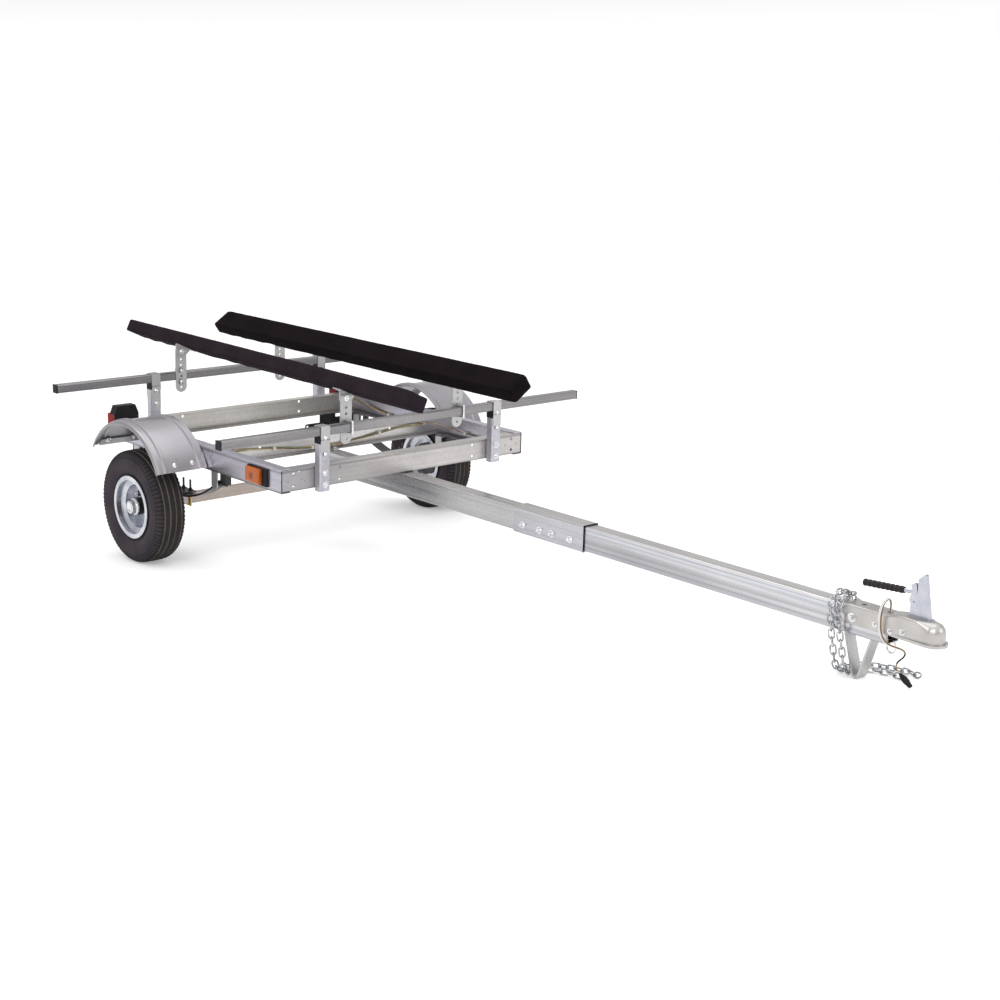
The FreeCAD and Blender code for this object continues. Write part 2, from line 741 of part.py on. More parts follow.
def bracket_u_bolts():
    """One bolt bent round the bar at each bracket, its ends through the bracket's plate."""
    bolts = []
    for name in bunks:
        side, _, front_y, rear_y = bunks[name]
        for end in ("front", "rear"):
            middle = front_y if end == "front" else rear_y
            x, z, _ = bars[end]
            out = 1 if end == "front" else -1
            face_x = x + bar_size if out > 0 else x
            bend_x = face_x + out * (hanger_gap + u_bolt_radius)
            plate_x = front_bracket_x if out > 0 else rear_bracket_x + bracket_wall
            tail_x = plate_x - out * u_bolt_tail
            y = middle
            z_low = z - u_bolt_gap - u_bolt_radius
            z_high = z + bar_size + u_bolt_gap + u_bolt_radius
            bolts.append((tail_x, bend_x, y, z_low, z_high))
    shapes = []
    for tail_x, bend_x, y, z_low, z_high in bolts:
        legs = [cylinder(u_bolt_radius, (tail_x, y, z), (bend_x, y, z)) for z in (z_low, z_high)]
        back = cylinder(u_bolt_radius, (bend_x, y, z_low), (bend_x, y, z_high))
        balls = [Part.makeSphere(u_bolt_radius, Vec(bend_x, y, z)) for z in (z_low, z_high)]
        shapes.append(legs[0].fuse([legs[1], back] + balls))
    return shapes


def fender_section():
    """The pressed sheet's section as (y, radius) points, with two ribs and a rolled outer lip."""
    rise, width, inset = fender_rib_height, fender_rib_width, fender_rib_inset
    inner, outer = fender_inner_y, fender_outer_y - fender_roll
    line = [(inner, 0)]
    for start in (inner + inset, outer - inset - width):
        line += [(start, 0), (start + width * 0.25, rise), (start + width * 0.75, rise), (start + width, 0)]
    line += [(outer, 0), (fender_outer_y - fender_roll * 0.3, -fender_roll * 0.3),
             (fender_outer_y, -fender_roll)]
    upper = [(y, fender_radius + step) for y, step in line] + [(fender_outer_y, fender_radius - fender_lip)]
    lower = [(y, radius - fender_wall) for y, radius in upper[:-2]]
    lower[-1] = (lower[-1][0] - fender_wall * 0.6, lower[-1][1])
    lip_inner = fender_outer_y - fender_wall
    lower += [(lip_inner, fender_radius - fender_roll - fender_wall * 0.4), (lip_inner, fender_radius - fender_lip)]
    return upper + lower[::-1]


def fender(side):
    """A pressed arch over the wheel, its section turned about a line through its centre."""
    face = face_from([(radius, y, 0) for y, radius in fender_section()])
    face.rotate(Vec(0, 0, 0), Y_AXIS, -fender_front_angle)
    shape = face.revolve(Vec(0, 0, 0), Y_AXIS, fender_front_angle - fender_rear_angle)
    shape.translate(Vec(0, 0, fender_centre_height))
    return shape if side > 0 else mirrored(shape)


def fender_brackets():
    """Two flat arms a side, from the rail out under the fender's front and rear ends."""
    arms = []
    arm_height = fender_arm_height
    for side in (-1, 1):
        for turn in (fender_front_angle + fender_arm_inset, fender_rear_angle - fender_arm_inset):
            angle = math.radians(turn)
            radius = fender_radius - fender_wall
            x = radius * math.cos(angle)
            z = fender_centre_height + radius * math.sin(angle)
            tangent = Vec(-math.sin(angle), 0, math.cos(angle))
            normal = Vec(math.cos(angle), 0, math.sin(angle))
            y0 = frame_half_width
            y1 = fender_outer_y - 2 * fender_lip
            points = [Vec(x, y0, z), Vec(x, y0, z) + tangent * arm_height,
                      Vec(x, y0, z) + tangent * arm_height - normal * hanger_wall,
                      Vec(x, y0, z) - normal * hanger_wall]
            shift = normal * (-sag_clearance(arm_height, radius) - hanger_gap)
            points = [point + shift for point in points]
            face = Part.Face(Part.makePolygon(points + points[:1]))
            arm = face.extrude(Vec(0, y1 - y0, 0))
            arms.append(arm if side > 0 else mirrored(arm))
    return arms


def sag_clearance(chord, radius):
    """How far a flat arm must lie inside a round skin so that its ends just clear it."""
    return math.sqrt(radius * radius + chord * chord) - radius


def axle():
    half = axle_size / 2
    end = half_track - hub_barrel_inner - axle_end_gap
    beam = square_tube(-half, half, -end, end, -half, half, axle_wall, Y_AXIS)
    shape = beam
    for side in (-1, 1):
        plug_end = side * (end - 4 * half)
        plug = box(-half + axle_wall, half - axle_wall, *sorted((plug_end, side * end)),
                   -half + axle_wall, half - axle_wall)
        spindle_end = side * (half_track + hub_barrel_outer)
        spindle = cylinder(spindle_radius, (0, side * (end - half), 0), (0, spindle_end, 0))
        shape = shape.fuse([plug, spindle])
    return shape.removeSplitter()


def spring_arch():
    """The radius of the leaf's middle line, from its seat on the axle to its eyes."""
    rise = spring_eye_height - axle_size / 2 - spring_wall / 2
    return (spring_eye_reach ** 2 + rise ** 2) / (2 * rise)


def leaf_spring(side):
    """One flat leaf bent into an arc, from its front eye to its sliding rear end."""
    radius = spring_arch()
    centre_z = axle_size / 2 + spring_wall / 2 + radius
    reach = math.asin(spring_eye_reach / radius)

    def place(r, angle):
        return Vec(r * math.sin(angle), 0, centre_z - r * math.cos(angle))

    outer, inner = radius + spring_wall / 2, radius - spring_wall / 2
    edges = [Part.Arc(place(outer, -reach), place(outer, 0), place(outer, reach)).toShape(),
             Part.LineSegment(place(outer, reach), place(inner, reach)).toShape(),
             Part.Arc(place(inner, reach), place(inner, 0), place(inner, -reach)).toShape(),
             Part.LineSegment(place(inner, -reach), place(outer, -reach)).toShape()]
    leaf = Part.Face(Part.Wire(edges)).extrude(Vec(0, spring_width, 0))
    leaf.translate(Vec(0, -spring_width / 2, 0))
    eye_centre = place(radius, reach)
    eye = Part.makeCylinder(spring_eye_radius, spring_width,
                            Vec(eye_centre.x, -spring_width / 2, eye_centre.z), Y_AXIS)
    bore = Part.makeCylinder(spring_eye_radius - spring_wall, spring_width + 2 * overrun,
                             Vec(eye_centre.x, -spring_width / 2 - overrun, eye_centre.z), Y_AXIS)
    shape = leaf.fuse(eye).cut(bore)
    shape.translate(Vec(0, side * spring_half_spread, 0))
    return shape


def spring_hangers():
    """Two ears and a roof at each spring's ends, under the side rail."""
    hangers = []
    half = spring_width / 2 + hanger_gap
    for side in (-1, 1):
        middle = side * spring_half_spread
        for reach in (-1, 1):
            x = reach * spring_eye_reach
            x0, x1 = x - hanger_length / 2, x + hanger_length / 2
            low = spring_eye_height - spring_eye_radius - hanger_wall
            ear = [(x0, frame_bottom), (x0, low + hanger_corner), (x0 + hanger_corner, low),
                   (x1 - hanger_corner, low), (x1, low + hanger_corner), (x1, frame_bottom)]
            outer = extrude_y(ear, middle - half - hanger_wall, middle + half + hanger_wall)
            hollow = box(x0 - overrun, x1 + overrun, middle - half, middle + half,
                         low - overrun, frame_bottom - hanger_wall)
            shape = outer.cut(hollow)
            pin_y = (middle - half - overrun, middle + half + overrun)
            pin_z = spring_eye_height
            pin_radius = spring_eye_radius - spring_wall - hanger_gap
            if reach < 0:
                pin_z = spring_eye_height + spring_wall / 2 + pin_radius + 2 * hanger_gap
            pin = cylinder(pin_radius, (x, pin_y[0], pin_z), (x, pin_y[1], pin_z))
            hangers.append(shape.fuse(pin))
    return hangers


def spring_blocks():
    """Black blocks under the rails, before the front hangers and behind the rear ones."""
    blocks = []
    for side in (-1, 1):
        middle = side * spring_half_spread
        for reach in (-1, 1):
            near = spring_eye_reach + hanger_length / 2
            x0, x1 = sorted((reach * near, reach * (near + spring_block_length)))
            blocks.append(box(x0, x1, middle - spring_block_width / 2, middle + spring_block_width / 2,
                              frame_bottom - spring_block_height, frame_bottom))
    return blocks


def axle_clamps():
    """A seat plate on each spring and two bent bolts that draw it down on the axle."""
    clamps = []
    half = axle_size / 2
    arch = spring_arch() - spring_wall / 2
    seat_half = spring_seat_length / 2
    seat_low = half + spring_wall + arch - math.sqrt(arch * arch - seat_half * seat_half) + hanger_gap
    for side in (-1, 1):
        middle = side * spring_half_spread
        plate_half = spring_width / 2 + 4 * u_bolt_radius
        plate = box(-spring_seat_length / 2, spring_seat_length / 2, middle - plate_half,
                    middle + plate_half, seat_low, seat_low + seat_plate_wall)
        bolts = []
        for offset in (-1, 1):
            y = middle + offset * (spring_width / 2 + u_bolt_radius + hanger_gap)
            x = half + hanger_gap + u_bolt_radius
            low = -x
            top = seat_low + clamp_bolt_reach
            legs = [cylinder(u_bolt_radius, (sign * x, y, low), (sign * x, y, top)) for sign in (-1, 1)]
            floor = cylinder(u_bolt_radius, (-x, y, low), (x, y, low))
            balls = [Part.makeSphere(u_bolt_radius, Vec(sign * x, y, low)) for sign in (-1, 1)]
            bolts.append(legs[0].fuse([legs[1], floor] + balls))
        shape = plate.fuse(bolts)
        clamps.append(shape)
    return clamps


def revolve_profile(points, middle):
    """Turn a profile of (radius, offset outward) points about the wheel's axis."""
    face = face_from([(radius, middle + offset, 0) for radius, offset in points])
    return face.revolve(Vec(0, 0, 0), Y_AXIS, 360)


def faceted_ring(points, middle, sides):
    """A ring of flat facets from a closed profile of (radius, offset outward) points, turned so
    that one facet lies flat on the parked trailer's floor."""
    rings = []
    for index in range(sides):
        angle = 2 * math.pi * (index + 0.5) / sides - math.pi / 2 + pitch
        rings.append([Vec(radius * math.cos(angle), middle + offset, radius * math.sin(angle))
                      for radius, offset in points])
    faces = []
    for index in range(sides):
        here, there = rings[index], rings[(index + 1) % sides]
        for corner in range(len(points)):
            after = (corner + 1) % len(points)
            quad = [here[corner], here[after], there[after], there[corner]]
            faces.append(Part.Face(Part.makePolygon(quad + quad[:1])))
    solid = Part.makeSolid(Part.makeShell(faces))
    if solid.Volume < 0:
        solid.reverse()
    return solid


def tyre(side):
    """A hollow tyre of flat facets; its beads lie in the rim's seats."""
    half = tyre_width / 2
    widen = 1 / math.cos(math.pi / tyre_sides)
    seat = (bead_radius + hanger_gap) * widen
    wall = tyre_wall
    crown = tyre_radius * widen
    outer = [(crown, half * 0.4), (crown - wall * 0.28, half * 0.8),
             (crown - wall * 1.2, half * 0.97), (crown - wall * 3.2, half),
             ((rim_flange_radius + hanger_gap) * widen, half * 0.8), (seat, half * 0.76)]
    inner = [(seat, half * 0.62), (crown - wall, half * 0.72)]
    points = outer + inner
    points += [(radius, -offset) for radius, offset in points[::-1]]
    return faceted_ring(points, side * half_track, tyre_sides)


def rim(side):
    """A rolled rim with a dropped centre, and the dished disc that bolts to the hub."""
    flange, wall = rim_flange_half, rim_wall
    seat = bead_radius
    drop = rim_drop_radius
    outer = [(rim_flange_radius, flange), (rim_flange_radius, flange - wall), (seat, flange - 2 * wall),
             (seat, flange - 5 * wall), (drop, flange - 7 * wall), (drop, -flange + 7 * wall),
             (seat, -flange + 5 * wall), (seat, -flange + 2 * wall), (rim_flange_radius, -flange + wall),
             (rim_flange_radius, -flange)]
    inner = [(seat - wall, -flange), (seat - wall, -flange + 5 * wall), (drop - wall, -flange + 7 * wall),
             (drop - wall, flange - 7 * wall), (seat - wall, flange - 5 * wall), (seat - wall, flange)]
    shape = revolve_profile(outer + inner, side * half_track)
    disc_y = side * (half_track + rim_disc_inset)
    disc = cylinder(drop - wall / 2, (0, disc_y, 0), (0, disc_y + side * rim_disc_wall, 0))
    bore = cylinder(rim_bore_radius, (0, disc_y - side * overrun, 0),
                    (0, disc_y + side * (rim_disc_wall + overrun), 0))
    disc = disc.cut(bore)
    for index in range(stud_count):
        angle = 2 * math.pi * (index + 0.5) / stud_count
        x, z = stud_circle_radius * math.cos(angle), stud_circle_radius * math.sin(angle)
        disc = disc.cut(cylinder(stud_radius + hanger_gap, (x, disc_y - side * overrun, z),
                                 (x, disc_y + side * (rim_disc_wall + overrun), z)))
    return shape.fuse(disc).removeSplitter()


def hub(side):
    """The cast hub on its spindle, with four studs and a pressed dust cap."""
    disc_y = half_track + rim_disc_inset
    inner_y = half_track - hub_barrel_inner
    outer_y = half_track + hub_barrel_outer
    barrel = cylinder(hub_barrel_radius, (0, inner_y, 0), (0, outer_y, 0))
    flange = cylinder(hub_flange_radius, (0, disc_y - hub_flange_wall, 0), (0, disc_y, 0))
    cap = cylinder(dust_cap_radius, (0, outer_y, 0), (0, outer_y + dust_cap_reach, 0))
    shape = barrel.fuse([flange, cap])
    for index in range(stud_count):
        angle = 2 * math.pi * (index + 0.5) / stud_count
        x, z = stud_circle_radius * math.cos(angle), stud_circle_radius * math.sin(angle)
        shape = shape.fuse(cylinder(stud_radius, (x, disc_y - hub_flange_wall, z),
                                    (x, disc_y + rim_disc_wall + stud_reach, z)))
    bore = cylinder(spindle_radius + spindle_fit, (0, inner_y - overrun, 0), (0, outer_y + hanger_gap, 0))
    shape = shape.cut(bore)
    return shape if side > 0 else mirrored(shape)


def chamfered(shape, size, chosen):
    edges = [edge for edge in shape.Edges if chosen(edge)]
    return shape.makeChamfer(size, edges)


def tail_lamps():
    """At each rear corner a black hood, narrower at its top, with a thin front wall. The red lens
    stands under the hood and wraps from the lamp's outer side round its back."""
    housings, lenses = [], []
    front = frame_rear - nest_gap
    back = front - tail_lamp_depth
    top = frame_top + tail_lamp_rise
    low = top - tail_lamp_height
    hood_low = top - tail_hood_height
    outer = frame_half_width + tail_lamp_overhang
    inner = outer - tail_lamp_width
    face = [(outer, low), (outer, hood_low), (outer - tail_hood_taper, top), (inner + tail_hood_taper, top),
            (inner, hood_low), (inner, low)]
    lens_front = front - tail_front_wall
    lens_back = back - tail_lens_reach
    for side in (-1, 1):
        housing = extrude_x([(side * y, z) for y, z in face], back, front)
        y0, y1 = sorted((side * (inner - overrun), side * (outer + overrun)))
        housings.append(housing.cut(box(back - overrun, lens_front, y0, y1, low - overrun, hood_low)))
        y0, y1 = sorted((side * (inner + tail_lens_margin), side * outer))
        lens = box(lens_back, lens_front, y0, y1, low + tail_lens_margin, hood_low)
        lenses.append(chamfered(lens, tail_lens_chamfer, lambda edge: edge.BoundBox.XMax < lens_back + overrun))
    return housings, lenses


def side_markers():
    """A black base on each rail's outer face and an amber lens on it."""
    bases, lenses = [], []
    for side in (-1, 1):
        low = frame_middle - marker_height / 2
        top = low + marker_height
        y = side * frame_half_width
        base_y = side * (frame_half_width + marker_base_wall)
        lens_y = side * (frame_half_width + marker_base_wall + marker_depth)
        bases.append(box(marker_x, marker_x + marker_length + marker_base_reach,
                         *sorted((y, base_y)), low, top))
        lens = box(marker_x + marker_margin, marker_x + marker_length,
                   *sorted((base_y, lens_y)), low + marker_margin, top - marker_margin)
        lenses.append(chamfered(lens, marker_chamfer,
                                lambda edge: abs(abs(edge.BoundBox.YMax) - abs(lens_y)) < overrun
                                and abs(abs(edge.BoundBox.YMin) - abs(lens_y)) < overrun))
    return bases, lenses


def plate_bracket():
    """A black arm with a round drilled end and a taller body under the rear crossmember."""
    x0, x1 = frame_rear, frame_rear + plate_wall
    low = frame_bottom - plate_drop
    half = plate_arm_width / 2
    start = frame_half_width - plate_arm_start
    body = frame_half_width - plate_body_start
    end = frame_half_width - plate_end
    arm = box(x0, x1, start, end, low, low + plate_arm_width)
    nose = cylinder(half, (x0, start, low + half), (x1, start, low + half))
    rail_edge = frame_half_width - rail_flange - nest_gap
    tall = box(x0, x1, body, rail_edge, low, member_bottom)
    under = box(x0, x1, body, end, low, frame_bottom - nest_gap)
    hole = cylinder(hole_radius, (x0 - overrun, start, low + half), (x1 + overrun, start, low + half))
    window_y = frame_half_width - plate_window_start
    window_z = frame_bottom - plate_window_drop
    window = box(x0 - overrun, x1 + overrun, window_y, window_y + plate_window_length,
                 window_z - plate_window_height, window_z)
    return arm.fuse([nose, tall, under]).cut(hole).cut(window)


def floor_height(x):
    """The parked trailer's floor, in the trailer's own frame."""
    return (x * math.sin(pitch) - tyre_radius) / math.cos(pitch)


def on_floor(x, y):
    return (x, y, floor_height(x) + chain_height / math.cos(pitch))


def chain_paths():
    """Each strand starts on the tongue's far side, drapes over it, hangs down its near side to
    the floor, turns back under it behind the foot and lies forward along the floor."""
    return [rear_strand_route + [on_floor(*place) for place in rear_strand_floor],
            front_strand_route + [on_floor(*place) for place in front_strand_floor]]


def joints_along(points, pitch_length):
    """Places a link's pitch apart, each in a straight line from the one before."""
    curve = Part.BSplineCurve()
    curve.interpolate([Vec(*point) for point in points])
    first, last = curve.FirstParameter, curve.LastParameter
    steps = 4000
    places = [curve.value(first)]
    for index in range(1, steps + 1):
        here = curve.value(first + (last - first) * index / steps)
        if (here - places[-1]).Length >= pitch_length:
            places.append(here)
    return places


def chain_link(middle, forward, across):
    """One link: an octagonal ring of square wire in the plane of forward and across."""
    def ring(half_length, half_width, corner):
        corners = [(half_length, half_width - corner), (half_length - corner, half_width),
                   (corner - half_length, half_width), (-half_length, half_width - corner),
                   (-half_length, corner - half_width), (corner - half_length, -half_width),
                   (half_length - corner, -half_width), (half_length, corner - half_width)]
        points = [middle + forward * u + across * v - normal * (chain_wire / 2) for u, v in corners]
        return Part.Face(Part.makePolygon(points + points[:1]))

    normal = forward.cross(across).normalize()
    inner_length, inner_width = chain_inside / 2, chain_inside_width / 2
    outer = ring(inner_length + chain_wire, inner_width + chain_wire, chain_corner + chain_wire * 0.6)
    inner = ring(inner_length, inner_width, chain_corner)
    return outer.cut(inner).extrude(normal * chain_wire)


def safety_chain():
    links = []
    for points in chain_paths():
        places = joints_along(points, chain_inside - chain_gap)
        across = Vec(1, 0, 0)
        turn = chain_roll
        for start, end in zip(places, places[1:]):
            forward = (end - start).normalize()
            across = (across - forward * across.dot(forward)).normalize()
            spin = math.radians(turn)
            rolled = across * math.cos(spin) + forward.cross(across) * math.sin(spin)
            links.append(chain_link((start + end) * 0.5, forward, rolled))
            turn += 90.0
    return links


def tube(points, radius):
    """A round cord through the points: straight runs joined by arcs that touch both."""
    corners = [Vec(*point) for point in points]
    edges = []
    start = corners[0]
    tightest = None
    for before, here, after in zip(corners, corners[1:], corners[2:]):
        back = before - here
        ahead = after - here
        trim = bend_share * min(back.Length, ahead.Length)
        back_unit, ahead_unit = back.normalize(), ahead.normalize()
        half_turn = (math.pi - back_unit.getAngle(ahead_unit)) / 2
        bend = trim / math.tan(half_turn)
        tightest = bend if tightest is None else min(tightest, bend)
        enter, leave = here + back_unit * trim, here + ahead_unit * trim
        inward = (back_unit + ahead_unit).normalize()
        reach = bend / math.cos(half_turn) - bend
        edges.append(Part.LineSegment(start, enter).toShape())
        edges.append(Part.Arc(enter, here + inward * reach, leave).toShape())
        start = leave
    edges.append(Part.LineSegment(start, corners[-1]).toShape())
    wire = Part.Wire(edges)
    forward = (corners[1] - corners[0]).normalize()
    circle = Part.Wire(Part.makeCircle(radius, corners[0], forward))
    print("cord of radius", radius, "length", round(wire.Length, 1), "tightest bend", round(tightest, 1))
    return wire.makePipeShell([circle], True, False)


def wiring_harness():
    """The main loom from lamp to lamp, and a branch to each side marker."""
    main = loom_route + [(x, -y, z) for x, y, z in loom_route[::-1] if y > 0]
    branches = [[(x, side * y, z) for x, y, z in branch_route] for side in (-1, 1)]
    return [tube(main, harness_radius)] + [tube(points, branch_radius) for points in branches]


def harness_clips():
    """Small saddles round the wires, each against the steel behind it."""
    clips = []
    half = clip_size / 2
    web = mid_member_front - rail_flange + steel_wall
    for side in (-1, 1):
        for x, y, z in member_clip_places:
            body = box(web, x + half, side * y - half, side * y + half, z - half, z + half)
            clips.append(body.cut(cylinder(harness_radius + clip_slack, (x, side * y - clip_size, z),
                                           (x, side * y + clip_size, z))))
        for x, y, z, radius in rail_clip_places:
            inner, outer = sorted((side * (y - half), side * (frame_half_width - steel_wall)))
            body = box(x - half, x + half, inner, outer, z - half, z + half)
            clips.append(body.cut(cylinder(radius + clip_slack, (x - clip_size, side * y, z),
                                           (x + clip_size, side * y, z))))
    return clips


def plug_lead():
    """The tow vehicle's lead, out of the coupler's top, round its side and down to the plug.
    Its route is on the floor's frame."""
    return tube(lead_route, lead_radius)


def plug():
    """A flat moulded plug on the lead's end, lying along the lead's last slope."""
    shape = box(0, plug_length, -plug_width / 2, plug_width / 2, -plug_height / 2, plug_height / 2)
    shape = chamfered(shape, plug_chamfer, lambda edge: along(edge, X_AXIS))
    neck = cylinder(plug_height / 2 - plug_chamfer, (-plug_neck, 0, 0), (plug_chamfer, 0, 0))
    shape = shape.fuse(neck)
    shape.rotate(Vec(0, 0, 0), Y_AXIS, plug_dip)
    reach = plug_neck + nest_gap
    dip = math.radians(plug_dip)
    shape.translate(Vec(*lead_route[-1]) + Vec(reach * math.cos(dip), 0, -reach * math.sin(dip)))
    return shape


def parked(shapes, axle_x):
    """Pitch, lift and shift finished solids into the floor frame."""
    placed = []
    for shape in shapes:
        copy = shape.copy()
        copy.rotate(Vec(0, 0, 0), Y_AXIS, math.degrees(pitch))
        copy.translate(Vec(axle_x, 0, tyre_radius))
        placed.append(copy)
    return placed


def build():
    nodes = {}
    nodes["side_rail_right"] = [side_rail(-1)]
    nodes["side_rail_left"] = [side_rail(1)]
    members = {"front": (frame_front, frame_front - rail_flange),
               "mid": (mid_member_front - rail_flange, mid_member_front),
               "rear": (frame_rear, frame_rear + rail_flange)}
    for name, (web_x, flange_x) in members.items():
        nodes[name + "_crossmember"] = [crossmember(web_x, flange_x, member_holes(name))]
    nodes["tongue_rear"] = [tongue_tube(tongue_rear_end, tongue_joint - tongue_joint_gap / 2)]
    nodes["tongue_front"] = [tongue_front()]
    nodes["tongue_splice"] = [tongue_splice()]
    nodes["coupler"] = [coupler()]
    nodes["coupler_latch"] = [coupler_latch()]
    nodes["latch_grip"] = [latch_grip()]
    nodes["parking_foot"] = [parking_foot()]
    nodes["load_bars"] = [load_bar(name) for name in bars]
    nodes["bar_posts"] = [post(name, side) for name in bars for side in (-1, 1)]
    nodes["end_caps"] = bar_caps() + post_caps()
    nodes["bar_saddles"] = bar_saddles()
    for name in bunks:
        nodes["bunk_" + name] = [bunk(name)]
    seats = [(name, end) for name in bunks for end in ("front", "rear")]
    nodes["bunk_bracket_plates"] = [bunk_bracket(*seat) for seat in seats]
    nodes["bunk_angles"] = [bunk_angle(*seat) for seat in seats]
    nodes["bracket_u_bolts"] = bracket_u_bolts()
    nodes["fender_brackets"] = fender_brackets()
    nodes["axle"] = [axle()]
    nodes["leaf_springs"] = [leaf_spring(side) for side in (-1, 1)]
    nodes["spring_hangers"] = spring_hangers()
    nodes["axle_clamps"] = axle_clamps()
    for side_name, side in (("right", -1), ("left", 1)):
        nodes["fender_" + side_name] = [fender(side)]
        nodes["tyre_" + side_name] = [tyre(side)]
        nodes["rim_" + side_name] = [rim(side)]
        nodes["hub_" + side_name] = [hub(side)]
    nodes["tail_lamp_housings"], nodes["tail_lamp_lenses"] = tail_lamps()
    nodes["side_marker_bases"], nodes["side_marker_lenses"] = side_markers()
    nodes["plate_bracket"] = [plate_bracket()]
    nodes["spring_blocks"] = spring_blocks()
    nodes["safety_chain"] = safety_chain()
    nodes["wiring_harness"] = wiring_harness()
    nodes["harness_clips"] = harness_clips()
    return nodes


def main():
    os.makedirs("parts", exist_ok=True)
    nodes = build()
    loose = {name: parked(shapes, 0.0) for name, shapes in nodes.items()}
    whole = Part.Compound([shape for shapes in loose.values() for shape in shapes]).BoundBox
    axle_x = -(whole.XMin + whole.XMax) / 2
    print("pitch", round(math.degrees(pitch), 3), "axle x", round(axle_x, 2))
    print("box", [round(value, 2) for value in (whole.XMin, whole.XMax, whole.YMin, whole.YMax,
                                                 whole.ZMin, whole.ZMax)])
    finished = {name: parked(shapes, axle_x) for name, shapes in nodes.items()}
    finished["plug_lead"] = [plug_lead()]
    finished["plug"] = [plug()]
    for name, placed in finished.items():
        for shape in placed:
            if not shape.isValid() or len(shape.Solids) != 1:
                print("check", name, shape.isValid(), len(shape.Solids))
        solid = placed[0] if len(placed) == 1 else Part.Compound(placed)
        solid.exportStep("parts/" + name + ".step")
        print(name, len(placed), round(sum(shape.Volume for shape in placed)))


main()
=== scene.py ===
# %% [markdown]
# # A galvanised boat trailer
#
# The CAD model gives every main piece its shape and its place. This lesson dresses that frame:
# it gives each piece a finish made of shader nodes, and adds what a maker fits by hand, such as
# carpet, tread, chain links, wires and bolts. New pieces are drawn in the trailer's own frame, in
# millimetres from the middle of the axle, because that is how a fitter would measure them.

# %% Start
import math

import bmesh
import bpy
import numpy as np
from mathutils import Matrix, Vector, noise


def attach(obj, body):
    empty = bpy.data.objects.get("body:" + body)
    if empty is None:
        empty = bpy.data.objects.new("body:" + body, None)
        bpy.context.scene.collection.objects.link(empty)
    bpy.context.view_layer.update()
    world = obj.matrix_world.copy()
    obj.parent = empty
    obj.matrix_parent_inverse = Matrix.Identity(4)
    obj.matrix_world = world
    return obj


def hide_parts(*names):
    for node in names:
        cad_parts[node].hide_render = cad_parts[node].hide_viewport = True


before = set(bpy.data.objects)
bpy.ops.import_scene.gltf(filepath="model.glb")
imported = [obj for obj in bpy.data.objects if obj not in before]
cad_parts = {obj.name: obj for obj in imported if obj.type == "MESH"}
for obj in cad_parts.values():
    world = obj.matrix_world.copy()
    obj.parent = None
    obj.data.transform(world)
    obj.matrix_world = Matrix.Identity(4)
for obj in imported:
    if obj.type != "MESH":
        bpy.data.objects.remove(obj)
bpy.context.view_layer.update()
print("pieces from the CAD model:", len(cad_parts))

# %% [markdown]
# The real trailer stands nose down on its foot. One matrix, PARKED, carries a point from the
# trailer's level frame to the floor's frame, so that no bolt has to be turned on its own.

# %% Where the trailer stands
TYRE_RADIUS = 208.0
AXLE_X = -1132.87
NOSE_DOWN = math.radians(3.4275)
HALF_TRACK = 684.0
MM = 0.001
BOTH = (-1, 1)
SIDES = {"right": -1, "left": 1}
AXLE_PLACE = Vector((AXLE_X, 0, TYRE_RADIUS)) * MM
PARKED = Matrix.Translation(AXLE_PLACE) @ Matrix.Rotation(NOSE_DOWN, 4, "Y") @ Matrix.Scale(MM, 4)
FLOOR_FRAME = Matrix.Scale(MM, 4)
IN_PLACE = Matrix.Identity(4)

# %% [markdown]
# A few small tools keep the lesson short. One links an object into the scene, one turns a bmesh
# into a mesh, and add_node sets and wires a whole shader node in a single call.


# %% Tools for objects and nodes
def new_object(name, data):
    made = bpy.data.objects.new(name, data)
    bpy.context.scene.collection.objects.link(made)
    return made


def to_mesh(bm, name):
    """The finished bmesh as a mesh of that name."""
    mesh = bpy.data.meshes.new(name)
    bm.to_mesh(mesh)
    bm.free()
    return mesh


def feed(tree, node, values):
    """Set a node's inputs by name or number; a value may be another node's output."""
    for label, value in values.items():
        if isinstance(value, bpy.types.NodeSocket):
            tree.links.new(value, node.inputs[label])
        else:
            node.inputs[label].default_value = value


def add_node(tree, kind, values=None, **settings):
    """Make a shader node, choose its settings, feed its inputs, and give back its outputs."""
    node = tree.nodes.new("ShaderNode" + kind)
    for label, value in settings.items():
        setattr(node, label, value)
    feed(tree, node, values or {})
    return node.outputs


def add_ramp(tree, socket, stops):
    """A colour that follows the socket through (value, colour) stops."""
    node = tree.nodes.new("ShaderNodeValToRGB")
    elements = node.color_ramp.elements
    while len(elements) < len(stops):
        elements.new(0.5)
    for element, (value, colour) in zip(elements, stops):
        element.position = value
        element.color = (*colour, 1)
    feed(tree, node, {0: socket})
    return node.outputs[0]


def grey(shade):
    return (shade, shade, shade)


def scaled(colour, share):
    return tuple(channel * share for channel in colour)


# %% [markdown]
# The camera stands to the right of the coupler and looks back over the tongue. Its place and its
# turn were worked out from the trailer's straight lines, so it is set by numbers, not by eye.

# %% Camera
CAMERA_SPOT = Vector((5355.45, -3829.29, 1575.74))
YAW, TILT, ROLL = 2.3989, -0.2452, 0.0278

camera_data = bpy.data.cameras.new("camera")
camera_data.lens = 61.64
camera_data.sensor_width = 36
camera_data.clip_end = 200
camera = new_object("camera", camera_data)
bpy.context.scene.camera = camera

